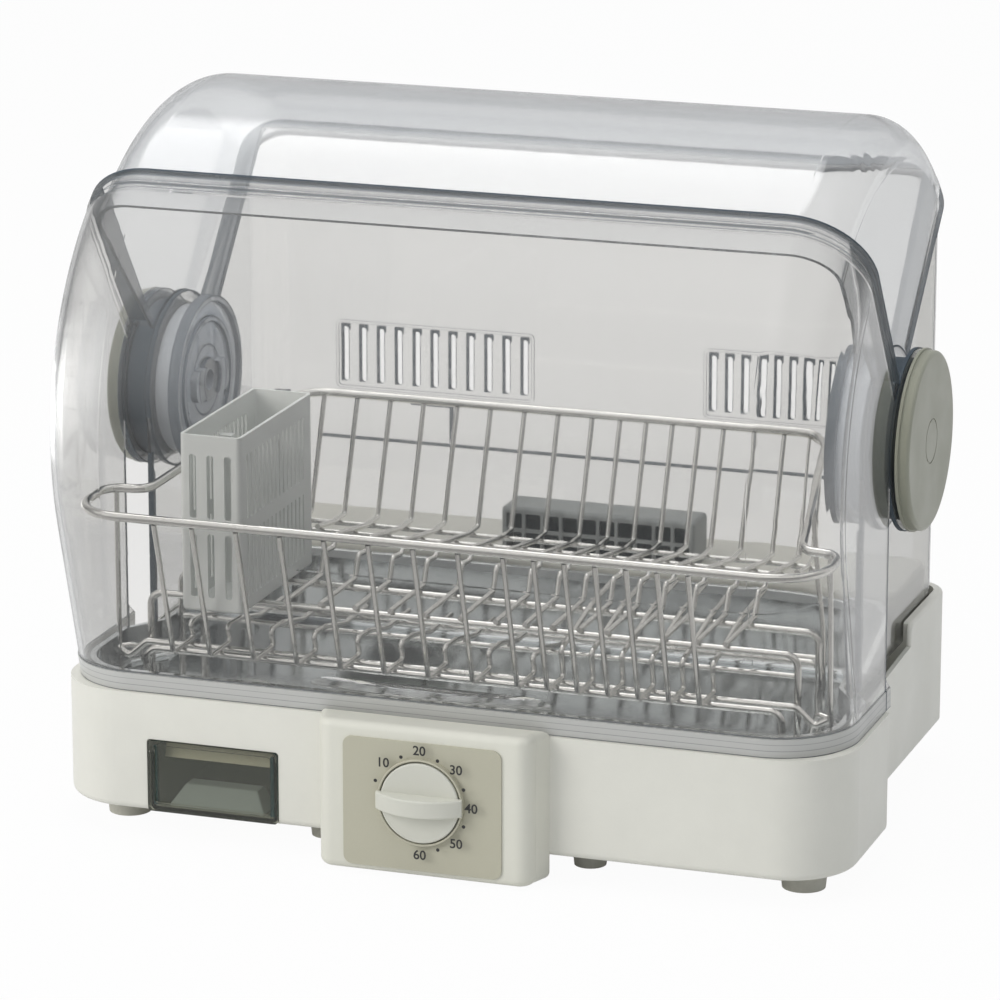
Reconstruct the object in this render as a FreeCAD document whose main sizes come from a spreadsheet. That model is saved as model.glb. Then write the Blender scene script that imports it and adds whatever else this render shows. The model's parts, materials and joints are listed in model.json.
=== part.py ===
# Countertop dish dryer: plastic base with timer and water drawer, steel tray, wire basket,
# cutlery holder, hot-air blower, and three nested clear covers on one pivot axis at the sides.
# Millimetres. X is the width, Y runs from the front to the back, Z is up, the floor is Z 0.

import FreeCAD, Part
import math
import os
import Sketcher
from types import SimpleNamespace
from FreeCAD import Placement, Rotation, Vector

os.makedirs("parts", exist_ok=True)
doc = FreeCAD.newDocument("DishDryer")

# Driving dimensions. Depths named with "depth" are measured backward from the body's front face.
DIMENSIONS = {
    "front_face": 127.5,
    "wall": 2.5,
    "front_half": 225,
    "front_depth": 101,
    "front_low": 15,
    "front_top": 82,
    "front_corner": 38,
    "rear_half": 212,
    "rear_depth": 283,
    "rear_low": 28,
    "rear_corner": 22,
    "tray_deck": 72,
    "rear_deck": 120,
    "riser_depth": 196,
    "deck_half": 201,
    "groove_floor": 92,
    "lip_depth": 193,
    "lip_top": 104,
    "pivot_depth": 149,
    "pivot_height": 222,
    "pin_radius": 12,
    "running_gap": 0.08,
    "hub_radius": 50,
    "cap_radius": 49,
    "cap_face": 232.2,
    "cover_wall": 2.2,
    "front_cover_half": 222,
    "front_cover_radius": 177.7,
    "front_cover_corner": 42,
    "front_cover_low": 82.3,
    "front_edge_angle": 54.3,
    "front_tangent_angle": 17,
    "top_cover_half": 209,
    "top_cover_radius": 173.5,
    "top_cover_corner": 25,
    "top_front_angle": 46,
    "top_back_angle": 135.5,
    "rear_cover_half": 206,
    "rear_cover_radius": 169.8,
    "rear_cover_corner": 22,
    "rear_cover_depth": 276,
    "rear_front_angle": 129.5,
    "rear_bend": 45,
    "rear_side_depth": 100,
    "panel_half": 65,
    "panel_front": 20,
    "panel_low": 2,
    "panel_top": 86,
    "panel_wall": 2.2,
    "plate_half": 44.8,
    "plate_low": 6,
    "plate_top": 78,
    "knob_radius": 24.3,
    "knob_height": 45.4,
    "shaft_radius": 3,
    "drawer_left": -166.9,
    "drawer_right": -90.7,
    "drawer_low": 15.6,
    "drawer_top": 56,
    "drawer_depth": 96,
    "drawer_wall": 2.2,
    "bottom_low": 12.5,
    "tray_half": 212.5,
    "tray_back_half": 197.6,
    "tray_front_depth": 8,
    "tray_back_depth": 191.6,
    "tray_sheet": 0.8,
    "tray_front_rim": 92,
    "tray_back_rim": 115,
    "drain_across": -129,
    "drain_depth": 60,
    "louvre_left": -33,
    "louvre_right": 82,
    "louvre_depth": 206,
    "louvre_back": 232,
    "louvre_top": 147,
    "rim_wire": 5,
    "rim_height": 182,
    "rim_back_height": 202,
    "rim_half": 210.5,
    "wire": 3,
    "leg_wire": 4,
    "front_shelf": 100.5,
    "rear_shelf": 127.5,
    "holder_left": -153.5,
    "holder_right": -118,
    "holder_front_depth": 20.5,
    "holder_back_depth": 128,
    "holder_top": 225,
    "holder_wall": 1.8,
    "fan_across": 8,
    "fan_height": 64,
    "fan_radius": 30,
    "fan_front_depth": 204,
    "fan_back_depth": 230,
    "throat_top": 100.5,
}


class Size:
    """A number together with the sheet expression that gives it."""

    def __init__(self, value, text=None):
        self.value = float(value)
        self.text = text or f"({value:.10g})"

    def __add__(self, other):
        return combined(self, other, "+", lambda one, two: one + two)

    def __sub__(self, other):
        return combined(self, other, "-", lambda one, two: one - two)

    def __mul__(self, other):
        return combined(self, other, "*", lambda one, two: one * two)

    def __truediv__(self, other):
        return combined(self, other, "/", lambda one, two: one / two)

    def __radd__(self, other):
        return size(other) + self

    def __rsub__(self, other):
        return size(other) - self

    def __rmul__(self, other):
        return size(other) * self

    def __neg__(self):
        return size(0) - self

    def __float__(self):
        return self.value


def size(thing):
    return thing if isinstance(thing, Size) else Size(thing)


def combined(left, right, sign, work):
    left, right = size(left), size(right)
    return Size(work(left.value, right.value), f"({left.text} {sign} {right.text})")


def cosine(angle):
    angle = size(angle)
    return Size(math.cos(math.radians(angle.value)), f"cos({angle.text})")


def sine(angle):
    angle = size(angle)
    return Size(math.sin(math.radians(angle.value)), f"sin({angle.text})")


def root(area):
    area = size(area)
    return Size(math.sqrt(area.value), f"sqrt({area.text})")


def point(*place):
    return Vector(*(float(part) for part in place))


sheet = doc.addObject("Spreadsheet::Sheet", "Sizes")
for line, (alias, value) in enumerate(DIMENSIONS.items(), start=1):
    sheet.set(f"A{line}", alias)
    sheet.set(f"B{line}", str(value))
    sheet.setAlias(f"B{line}", alias)
doc.recompute()
dim = SimpleNamespace(**{alias: Size(value, f"Sizes.{alias}") for alias, value in DIMENSIONS.items()})


def deep(depth):
    """The Y coordinate of a depth measured backward from the body's front face."""
    return size(depth) - dim.front_face


def bind(thing, **sizes):
    for name, amount in sizes.items():
        amount = size(amount)
        setattr(thing, name, amount.value)
        thing.setExpression(name, amount.text)


def place(thing, *spot, turn=None):
    """Put a piece at X, Y, Z, turned by an optional rotation, with the place bound to the sheet."""
    thing.Placement = Placement(point(*spot), turn or Rotation())
    for axis, amount in zip("xyz", spot):
        thing.setExpression(f"Placement.Base.{axis}", size(amount).text)
    return thing


nodes = []


def node(thing, label):
    thing.Label = label
    nodes.append(thing)
    return thing


# Sketch helpers

PLANES = {"XY": ("XY_Plane", 1), "XZ": ("XZ_Plane", -1), "YZ": ("YZ_Plane", 1)}


def fix(sketch, edge, end, spot):
    for kind, amount in zip(("DistanceX", "DistanceY"), spot):
        amount = size(amount)
        number = sketch.addConstraint(Sketcher.Constraint(kind, -1, 1, edge, end, amount.value))
        sketch.setExpression(f"Constraints[{number}]", amount.text)


def fix_radius(sketch, edge, radius):
    number = sketch.addConstraint(Sketcher.Constraint("Radius", edge, radius.value))
    sketch.setExpression(f"Constraints[{number}]", radius.text)


def arc_between(start, end, radius):
    """The minor arc from start to end; a positive radius turns left, a negative one right."""
    chord = end - start
    reach = math.sqrt(max(radius ** 2 - chord.Length ** 2 / 4, 0))
    side = Vector(-chord.y, chord.x, 0).normalize() * math.copysign(reach, radius)
    centre = (start + end) / 2 + side
    first, last = (start, end) if radius > 0 else (end, start)
    begin = math.atan2(first.y - centre.y, first.x - centre.x)
    finish = math.atan2(last.y - centre.y, last.x - centre.x)
    circle = Part.Circle(centre, Vector(0, 0, 1), abs(radius))
    return Part.ArcOfCircle(circle, begin, finish if finish > begin else finish + 2 * math.pi)


def draw(sketch, corners):
    """A closed outline. A corner is (x, y), reached by a line, or (x, y, radius), by an arc."""
    ends = []
    for before, corner in zip([corners[-1]] + corners[:-1], corners):
        start, end = point(*before[:2], 0), point(*corner[:2], 0)
        if len(corner) == 2:
            edge = sketch.addGeometry(Part.LineSegment(start, end), False)
            ends.append((edge, 1, 2))
        else:
            radius = size(corner[2])
            edge = sketch.addGeometry(arc_between(start, end, radius.value), False)
            ends.append((edge, 1, 2) if radius.value > 0 else (edge, 2, 1))
            fix_radius(sketch, edge, radius if radius.value > 0 else -radius)
    for place_number, (edge, head, tail) in enumerate(ends):
        following, next_head, next_tail = ends[(place_number + 1) % len(ends)]
        sketch.addConstraint(Sketcher.Constraint("Coincident", edge, tail, following, next_head))
        fix(sketch, edge, tail, corners[place_number][:2])


def ring(sketch, x, y, radius):
    edge = sketch.addGeometry(Part.Circle(point(x, y, 0), Vector(0, 0, 1), float(radius)), False)
    fix(sketch, edge, 3, (x, y))
    fix_radius(sketch, edge, size(radius))


def rectangle(across, along, first=0, second=0):
    """A rectangle whose corners are rounded by one radius at its low side and one at its high side."""
    low_x, high_x = across
    low_y, high_y = along
    corners = []
    if float(first):
        corners += [(low_x + first, low_y, first), (high_x - first, low_y), (high_x, low_y + first, first)]
    else:
        corners += [(low_x, low_y), (high_x, low_y)]
    if float(second):
        corners += [(high_x, high_y - second), (high_x - second, high_y, second)]
        corners += [(low_x + second, high_y), (low_x, high_y - second, second)]
    else:
        corners += [(high_x, high_y), (low_x, high_y)]
    if float(first):
        corners += [(low_x, low_y + first)]
    return corners


def sketch_on(owner, plane, level, outlines):
    role, facing = PLANES[plane]
    support = next(face for face in owner.Origin.OriginFeatures if face.Role == role)
    sketch = owner.newObject("Sketcher::SketchObject", owner.Name + "_outline")
    sketch.AttachmentSupport = [(support, "")]
    sketch.MapMode = "FlatFace"
    offset = size(level) * facing
    sketch.AttachmentOffset = Placement(point(0, 0, offset), Rotation())
    sketch.setExpression("AttachmentOffset.Base.z", offset.text)
    for outline in outlines:
        if isinstance(outline, tuple):
            ring(sketch, *outline)
        else:
            draw(sketch, outline)
    return sketch


# Feature helpers. A span is the low and high level of a feature along its plane's normal.

def new_body(name):
    owner = doc.addObject("PartDesign::Body", name)
    owner.Label = name
    owner.AllowCompound = True
    return owner


def pad(owner, plane, span, *outlines):
    low, high = span
    made = owner.newObject("PartDesign::Pad", owner.Name + "_pad")
    made.Profile = sketch_on(owner, plane, high if plane == "XZ" else low, outlines)
    bind(made, Length=size(high) - low)
    return made


def pocket(owner, plane, span, *outlines):
    low, high = span
    made = owner.newObject("PartDesign::Pocket", owner.Name + "_pocket")
    made.Profile = sketch_on(owner, plane, low if plane == "XZ" else high, outlines)
    bind(made, Length=size(high) - low)
    return made


def repeat(owner, feature, axis, pitch, count):
    """Repeat the feature along an origin axis, count times in all."""
    made = owner.newObject("PartDesign::LinearPattern", owner.Name + "_row")
    made.Originals = [feature]
    line = next(item for item in owner.Origin.OriginFeatures if item.Role == f"{axis}_Axis")
    made.Direction = (line, [""])
    bind(made, Length=size(pitch) * (count - 1))
    made.Occurrences = count
    owner.Tip = made
    return made


def picked(items, kind, chosen):
    return [f"{kind}{number}" for number, item in enumerate(items, start=1) if chosen(item)]


def fillet(owner, radius, chosen):
    doc.recompute()
    tip = owner.Tip
    made = owner.newObject("PartDesign::Fillet", owner.Name + "_fillet")
    made.Base = (tip, picked(tip.Shape.Edges, "Edge", chosen))
    bind(made, Radius=radius)
    return made


def at(axis, level):
    """A test for edges or faces that lie whole in one plane square to an axis."""
    low, high = f"{axis}Min", f"{axis}Max"

    def test(item):
        box = item.BoundBox
        return all(abs(getattr(box, name) - float(level)) < 0.01 for name in (low, high))
    return test


def either(*tests):
    return lambda item: any(test(item) for test in tests)


def both(*tests):
    return lambda item: all(test(item) for test in tests)


def upright(edge):
    box = edge.BoundBox
    return box.XLength < 0.01 and box.YLength < 0.01


def slab(name, plane, span, *outlines):
    owner = new_body(name)
    pad(owner, plane, span, *outlines)
    return owner


def box(name, across, along, height):
    """A plain block between two X, two Y and two Z levels."""
    made = doc.addObject("Part::Box", name)
    bind(made, Length=size(across[1]) - across[0], Width=size(along[1]) - along[0],
         Height=size(height[1]) - height[0])
    return place(made, across[0], along[0], height[0])


TURNS = {"X": Rotation(Vector(0, 1, 0), 90), "Y": Rotation(Vector(1, 0, 0), -90), "Z": Rotation()}


def rod(name, radius, start, axis, length):
    made = doc.addObject("Part::Cylinder", name)
    bind(made, Radius=radius, Height=length)
    return place(made, *start, turn=TURNS[axis])


def fused(name, *pieces):
    made = doc.addObject("Part::MultiFuse", name)
    made.Shapes = list(pieces)
    made.Refine = True
    return made


def cut(name, base, *tools):
    made = doc.addObject("Part::Cut", name)
    made.Base = base
    made.Tool = tools[0] if len(tools) == 1 else fused(name + "_tools", *tools)
    made.Refine = True
    return made


def common(name, base, tool):
    made = doc.addObject("Part::Common", name)
    made.Base = base
    made.Tool = tool
    return made


def group(name, pieces):
    """Separate solids kept in one node."""
    made = doc.addObject("Part::Compound", name)
    made.Links = list(pieces)
    return made


def mirrored(name, source):
    made = doc.addObject("Part::Mirroring", name)
    made.Source = source
    made.Normal = Vector(1, 0, 0)
    return made


def solid(name, shape):
    """A piece whose form is set from code: the bent wires."""
    made = doc.addObject("Part::Feature", name)
    made.Shape = shape
    made.Placement = Placement()
    return made


# Wires: straight runs joined by tangent bends, swept by a round section

def bent_path(corners, bend):
    """A path through corner points; bend is one radius, or one radius for each inner corner."""
    bends = bend if isinstance(bend, list) else [bend] * (len(corners) - 2)
    edges, start = [], corners[0]
    for before, here, after, radius in zip(corners, corners[1:], corners[2:], bends):
        back, onward = (before - here).normalize(), (after - here).normalize()
        half = back.getAngle(onward) / 2
        inward = (back + onward).normalize()
        reach = float(radius) / math.tan(half)
        enter, leave = here + back * reach, here + onward * reach
        middle = here + inward * (float(radius) / math.sin(half) - float(radius))
        edges += [Part.LineSegment(start, enter).toShape(), Part.Arc(enter, middle, leave).toShape()]
        start = leave
    edges.append(Part.LineSegment(start, corners[-1]).toShape())
    return Part.Wire(edges)


def bent_wire(corners, bend, thickness):
    path = bent_path(corners, bend)
    along = corners[1] - corners[0]
    section = Part.Wire([Part.Circle(corners[0], along, float(thickness) / 2).toShape()])
    return path.makePipeShell([section], True, False)


def straight_wire(start, end, thickness):
    return Part.makeCylinder(float(thickness) / 2, (end - start).Length, start, end - start)


def in_side_view(across, route):
    """Points at one X from pairs of depth and height."""
    return [point(across, deep(depth), height) for depth, height in route]


def wire_row(route, bend, thickness, places):
    return [bent_wire(in_side_view(across, route), bend, thickness) for across in places]


def wires(name, shapes):
    return solid(name, Part.makeCompound(shapes))


def spread(first, pitch, count):
    return [first + pitch * number for number in range(count)]


GLAND_ACROSS, GLAND_HEIGHT, GLAND_NECK = 150, 45, 6
PANEL_SCREWS = [(across, height) for across in (-56, 56) for height in (26, 64)]


# Base housing

def base_housing():
    wide, deep_end = dim.front_half, deep(dim.front_depth)
    ledge = 6
    front = slab("housing_front", "XY", (dim.front_low, dim.front_top),
                 rectangle((-wide, wide), (deep(0), deep_end), dim.front_corner, 4))
    fillet(front, 4, at("Z", dim.front_low))

    shoulder, lip_round = 6, 2
    side_rise = [(deep(45), dim.rear_low), (deep(dim.rear_depth), dim.rear_low),
                 (deep(dim.rear_depth), dim.lip_top),
                 (deep(dim.lip_depth + shoulder), dim.lip_top),
                 (deep(dim.lip_depth), dim.lip_top - shoulder, shoulder),
                 (deep(dim.lip_depth), dim.groove_floor - 1),
                 (deep_end, dim.front_top + 4), (deep(45), dim.front_top + 4)]
    rear = slab("housing_rear", "YZ", (-dim.rear_half, dim.rear_half), side_rise)
    fillet(rear, dim.rear_corner, both(upright, at("Y", deep(dim.rear_depth))))
    fillet(rear, lip_round, at("Z", dim.lip_top))

    inside = dim.rear_half - dim.wall
    groove = inside - 2.7
    recess = slab("tray_recess", "XY", (dim.tray_deck, dim.tray_deck + 60),
                  rectangle((ledge - wide, wide - ledge), (deep(ledge), deep_end),
                            dim.front_corner - ledge, 0))
    side_recess = box("side_recess", (-inside, inside), (deep(45), deep(dim.riser_depth)),
                      (dim.tray_deck, dim.tray_deck + 60))
    cover_groove = slab("cover_groove", "XY", (dim.groove_floor, dim.groove_floor + 60),
                        rectangle((-groove, groove), (deep(dim.lip_depth - 10), deep(dim.rear_depth - 6)),
                                  0, dim.rear_corner - 6))
    shell = cut("housing_shell", fused("housing_blocks", front, rear), recess, side_recess, cover_groove)

    deck = slab("raised_deck", "XY", (dim.tray_deck - 10, dim.rear_deck),
                rectangle((-dim.deck_half, dim.deck_half), (deep(dim.riser_depth), deep(272)), 4, 16))
    fillet(deck, 3, at("Z", dim.rear_deck))
    closed = fused("housing_closed", shell, deck)

    below = dim.front_low - 5
    ceiling = dim.tray_deck - dim.wall
    front_room = slab("front_room", "XY", (below, ceiling),
                      rectangle((dim.wall - wide, wide - dim.wall), (deep(dim.wall), deep_end - dim.wall),
                                dim.front_corner - dim.wall, 2))
    middle_room = slab("middle_room", "XY", (dim.rear_low - 5, ceiling),
                       rectangle((-inside, inside), (deep(80), deep(dim.rear_depth) - dim.wall),
                                 0, dim.rear_corner - dim.wall))
    riser_back = deep(dim.riser_depth) + dim.wall
    rear_room = slab("rear_room", "XY", (ceiling - 5, dim.groove_floor - dim.wall),
                     rectangle((-inside, inside), (riser_back, deep(dim.rear_depth) - dim.wall),
                               0, dim.rear_corner - dim.wall))
    deck_inside = dim.deck_half - dim.wall
    deck_room = slab("deck_room", "XY", (ceiling - 5, dim.rear_deck - dim.wall),
                     rectangle((-deck_inside, deck_inside), (riser_back, deep(272) - dim.wall), 2, 13.5))

    drawer_gap = 0.5
    drawer_way = slab("drawer_way", "XZ", (deep(-2), deep(ledge + 4)),
                      rectangle((dim.drawer_left - drawer_gap, dim.drawer_right + drawer_gap),
                                (below, dim.drawer_top + drawer_gap), 0, 2))
    timer_way = box("timer_way", (-50, 50), (deep(-2), deep(ledge + 4)), (22, 68))
    air_way = box("air_way", (dim.louvre_left + 3, dim.louvre_right - 3),
                  (deep(dim.louvre_depth + 3), deep(dim.louvre_back - 3)),
                  (dim.rear_deck - 10, dim.rear_deck + 5))
    drain_way = rod("drain_way", 9, (dim.drain_across, deep(dim.drain_depth), dim.tray_deck - 10), "Z", 20)
    cord_way = rod("cord_way", GLAND_NECK, (GLAND_ACROSS, deep(dim.rear_depth - 6), GLAND_HEIGHT), "Y", 12)
    panel_ways = [rod("panel_way", 1.6, (across, deep(-2), height), "Y", ledge + 4)
                  for across, height in PANEL_SCREWS]
    hollowed = cut("housing_hollow", closed, front_room, middle_room, rear_room, deck_room, drawer_way,
                   timer_way, air_way, drain_way, cord_way, *panel_ways)

    bosses = []
    for across, depth, floor, height in case_screw_spots():
        bosses.append(rod("boss", 4.5, (across, deep(depth), floor), "Z", height - floor))
    bored = [rod("boss_bore", 1.6, (across, deep(depth), floor - 1), "Z", 13)
             for across, depth, floor, height in case_screw_spots()]
    node(cut("base_housing", fused("housing_bosses", hollowed, *bosses), *bored), "base_housing")


def case_screw_spots():
    """Across, depth, lower end and upper end of the bosses that take the case screws."""
    ceiling = dim.tray_deck - dim.wall + 0.5
    return [(side * across, depth, dim.front_low, ceiling)
            for across, depth in ((188, 78), (182, 150), (150, 190)) for side in (-1, 1)]


# Bottom cover, feet and case screws

def bottom_cover():
    low, top = dim.bottom_low, dim.front_low
    pan_half, flange_half = 194, 208.5
    pan_front, pan_back, flange_back = deep(98), deep(266), deep(279.5)
    front = slab("bottom_front", "XY", (low, top),
                 rectangle((-215, 215), (deep(10), pan_front), dim.front_corner - 12, 2))
    rear = slab("bottom_rear", "XY", (low, top),
                rectangle((-pan_half, pan_half), (deep(90), pan_back), 0, 14))
    rim_outer = slab("pan_outer", "XY", (top, dim.rear_low + 2),
                     rectangle((-pan_half, pan_half), (deep(104), pan_back), 6, 14))
    rim_inner = slab("pan_inner", "XY", (top - 1, dim.rear_low + 3),
                     rectangle((2.5 - pan_half, pan_half - 2.5), (deep(106.5), pan_back - 2.5), 4, 11.5))
    flange = slab("pan_flange", "XY", (dim.rear_low, dim.rear_low + 2),
                  rectangle((-flange_half, flange_half), (deep(104), flange_back), 0, 18))
    well = cut("pan_wall", fused("pan_block", rim_outer, flange), rim_inner)
    guides = []
    for left in (dim.drawer_left - 4, dim.drawer_right + 1):
        guides.append(box("drawer_guide", (left, left + 3), (deep(14), deep(97)), (low + 1, 48)))
    block = fused("bottom_block", front, rear, well, *guides)

    slot_wide, slot_long, slots = 3, 50, 14
    vents = new_body("bottom_vents")
    first = pad(vents, "XY", (low - 1, top + 1),
                rectangle((-62, slot_wide - 62), (deep(208), deep(208 + slot_long)), 1.4, 1.4))
    repeat(vents, first, "X", 8, slots)
    screw_ways = [rod("screw_way", 1.9, (across, deep(depth), low - 1), "Z", 6)
                  for across, depth, floor, height in case_screw_spots()]
    node(cut("bottom_cover", block, vents, *screw_ways), "bottom_cover")

    screws = []
    for across, depth, floor, height in case_screw_spots():
        head = rod("screw_head", 3.4, (across, deep(depth), low - 2), "Z", 2)
        shank = rod("screw_shank", 1.5, (across, deep(depth), low - 1), "Z", 12)
        screws.append(fused("case_screw", head, shank))
    node(group("case_screws", screws), "case_screws")

    feet = []
    for across, depth, radius in ((195, 40, 13), (76, 37, 10), (180, 245, 11)):
        for side in (-1, 1):
            foot = doc.addObject("Part::Cone", "foot")
            bind(foot, Radius1=radius - 1.2, Radius2=radius, Height=low)
            feet.append(place(foot, side * across, deep(depth), 0))
    node(group("rubber_feet", feet), "rubber_feet")

    mesh = slab("filter_mesh", "XY", (top, top + 3),
                rectangle((-66, 48), (deep(204), deep(262)), 3, 3))
    window = box("filter_window", (-61, 43), (deep(209), deep(257)), (top + 1, top + 5))
    bars = [box("filter_bar", (across, across + 1.5), (deep(206), deep(260)), (top + 0.5, top + 2.4))
            for across in spread(-53, 11.5, 9)]
    node(fused("inlet_filter", cut("filter_frame", mesh, window), *bars), "inlet_filter")


# Control panel with its dial plate, timer and knob

def control_panel():
    half, front, wall = dim.panel_half, -dim.panel_front, dim.panel_wall
    draft = 4
    low, top = dim.panel_low, dim.panel_top

    def plan(inset, back):
        side, nose, soft = half - inset, half - draft - inset, 9 - inset
        return [(-side, deep(back)), (-nose, deep(front + inset + soft)),
                (soft - nose, deep(front + inset), soft), (nose - soft, deep(front + inset)),
                (nose, deep(front + inset + soft), soft), (side, deep(back))]

    shell = slab("panel_shell", "XY", (low, top), plan(0, 0))
    fillet(shell, 4.5, either(at("Z", top), both(at("Z", low),
                                                 lambda edge: edge.BoundBox.YMin < float(deep(-1)))))
    pocket(shell, "XY", (low + wall, top - wall), plan(wall, -wall))
    window = box("panel_window", (-48, 48), (deep(-wall - 1), deep(1)), (22, 68))
    bore = rod("panel_bore", dim.shaft_radius + 1.2, (0, deep(front - 1), dim.knob_height), "Y", 6)
    screw_ways = [rod("panel_screw_way", 1.3, (across, deep(-6), height), "Y", 8)
                  for across, height in PANEL_SCREWS]
    node(cut("control_panel", shell, window, bore, *screw_ways), "control_panel")

    plate = slab("dial_plate_body", "XZ", (deep(front - 1), deep(front)),
                 rectangle((-dim.plate_half, dim.plate_half), (dim.plate_low, dim.plate_top), 5, 5),
                 (0, dim.knob_height, dim.shaft_radius + 1.2))
    ring_wall = 1.2
    raised_ring = slab("dial_ring", "XZ", (deep(front - 4.5), deep(front - 0.5)),
                       (0, dim.knob_height, dim.knob_radius),
                       (0, dim.knob_height, dim.knob_radius - ring_wall))
    fillet(raised_ring, 0.5, at("Y", deep(front - 4.5)))
    node(fused("dial_plate", plate, raised_ring), "dial_plate")

    screws = []
    for across, height in PANEL_SCREWS:
        head = rod("screw_head", 3, (across, deep(dim.wall), height), "Y", 1.8)
        shank = rod("screw_shank", 1.2, (across, deep(-4.5), height), "Y", dim.wall + 5)
        screws.append(fused("panel_screw", head, shank))
    node(group("panel_screws", screws), "panel_screws")


def timer():
    height, radius = dim.knob_height, dim.knob_radius
    ring_gap = 2
    face, grip_foot, grip_end, grip_tip = deep(-25.2), deep(-25), deep(-26.5), deep(-36)
    disc = slab("knob_disc", "XZ", (face, deep(-21.4)), (0, height, radius - ring_gap))
    fillet(disc, 1, at("Y", face))
    bulge, grip_half = grip_end - grip_tip, 5
    arc_radius = (radius * radius + bulge * bulge) / (2 * bulge)
    grip = slab("knob_grip", "XY", (height - grip_half, height + grip_half),
                [(radius, grip_end, arc_radius), (radius, grip_foot), (-radius, grip_foot),
                 (-radius, grip_end)])
    fillet(grip, 1.2, lambda edge: edge.BoundBox.YLength > 5 and edge.BoundBox.XLength > 40)
    bore = rod("knob_bore", dim.shaft_radius, (0, deep(-30), height), "Y", 12)
    node(cut("timer_knob", fused("knob_block", disc, grip), bore), "timer_knob")

    node(rod("timer_shaft", dim.shaft_radius, (0, deep(-30), height), "Y", 22), "timer_shaft")

    case = slab("timer_case", "XZ", (deep(-11), deep(20)), rectangle((-23, 23), (24, 66), 4, 4))
    bush = rod("timer_bush", 6, (0, deep(2.2 - 20), height), "Y", 7)
    ears = slab("timer_ears", "XZ", (deep(-11), deep(-9)),
                rectangle((-33, 33), (height - 8, height + 8), 3, 3))
    tabs = [box("timer_tab", (across - 3, across + 3), (deep(19), deep(27)), (height - 0.4, height + 0.4))
            for across in (-12, 0, 12)]
    hole = rod("timer_hole", dim.shaft_radius + dim.running_gap, (0, deep(-20), height), "Y", 13)
    node(cut("timer_unit", fused("timer_block", case, bush, ears, *tabs), hole), "timer_unit")


# Water drawer, its tub open at the top

def water_tray():
    left, right, low, top = dim.drawer_left, dim.drawer_right, dim.drawer_low, dim.drawer_top
    wall, lip = dim.drawer_wall, 6
    tub = slab("drawer_tub", "XY", (low, top - lip),
               rectangle((left + 1, right - 1), (deep(1), deep(dim.drawer_depth)), 0, 8))
    fillet(tub, 3, both(at("Z", low), lambda edge: edge.BoundBox.YMax > float(deep(2))))
    pocket(tub, "XY", (low + wall, top),
           rectangle((left + 1 + wall, right - 1 - wall), (deep(3.2), deep(dim.drawer_depth) - wall), 2, 6))
    front = slab("drawer_front", "XZ", (deep(-1), deep(3.2)), rectangle((left, right), (low, top), 2, 2))
    bevel = slab("drawer_window", "XZ", (deep(-2), deep(0.4)),
                 rectangle((left + 4, right - 4), (low + 5, top - 2.5), 2, 2))
    node(cut("water_tray", fused("drawer_block", tub, front), bevel), "water_tray")


# Stainless tray with a rolled rim, and its drain spout

def drain_tray():
    half, back_half = dim.tray_half, dim.tray_back_half
    front, back, sheet_metal = deep(dim.tray_front_depth), deep(dim.tray_back_depth), dim.tray_sheet
    floor, low_rim, high_rim = dim.tray_deck + 0.3, dim.tray_front_rim, dim.tray_back_rim
    knee, heel, rise = deep(80), deep(103), deep(130)
    lift_clear = 60

    def plan(grow):
        turn, tail = 34 + grow, 18 + grow
        side, narrow = half + grow, back_half + grow
        return [(-side, front - grow + turn), (turn - side, front - grow, turn),
                (side - turn, front - grow), (side, front - grow + turn, turn), (side, knee),
                (narrow, heel), (narrow, back + grow - tail),
                (narrow - tail, back + grow, tail), (tail - narrow, back + grow),
                (-narrow, back + grow - tail, tail), (-narrow, heel), (-side, knee)]

    def above(level):
        return [(deep(-10), low_rim + level), (rise, low_rim + level), (back, high_rim + level),
                (back + 20, high_rim + level), (back + 20, high_rim + lift_clear),
                (deep(-10), high_rim + lift_clear)]

    def below(level):
        return [(deep(-10), floor - 10), (back + 20, floor - 10), (back + 20, high_rim + level),
                (back, high_rim + level), (rise, low_rim + level), (deep(-10), low_rim + level)]

    span = (-half - 20, half + 20)
    foot_bend = 6
    outside = slab("tray_outside", "XY", (floor, high_rim + 5), plan(0))
    fillet(outside, foot_bend, at("Z", floor))
    pocket(outside, "YZ", span, above(0))
    pocket(outside, "XY", (floor - 1, floor + 2), (dim.drain_across, deep(dim.drain_depth), 6))
    inside = slab("tray_inside", "XY", (floor + sheet_metal, high_rim + 6), plan(-sheet_metal))
    fillet(inside, foot_bend - sheet_metal, at("Z", floor + sheet_metal))
    shell = cut("tray_shell", outside, inside)
    rim = slab("tray_rim", "XY", (low_rim - 8, high_rim + 5), plan(2.6))
    pocket(rim, "XY", (low_rim - 9, high_rim + 6), plan(-sheet_metal))
    pocket(rim, "YZ", span, above(1.2))
    pocket(rim, "YZ", span, below(-1.8))
    node(fused("drain_tray", shell, rim), "drain_tray")

    spot = (dim.drain_across, deep(dim.drain_depth))
    collar = rod("spout_collar", 9, (*spot, floor + sheet_metal), "Z", 1.4)
    tube = rod("spout_tube", 5.8, (*spot, 60), "Z", floor + sheet_metal - 59)
    way = rod("spout_way", 4.2, (*spot, 59), "Z", 20)
    node(cut("drain_spout", fused("spout_block", collar, tube), way), "drain_spout")


# Hot-air outlet on the rear deck

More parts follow.
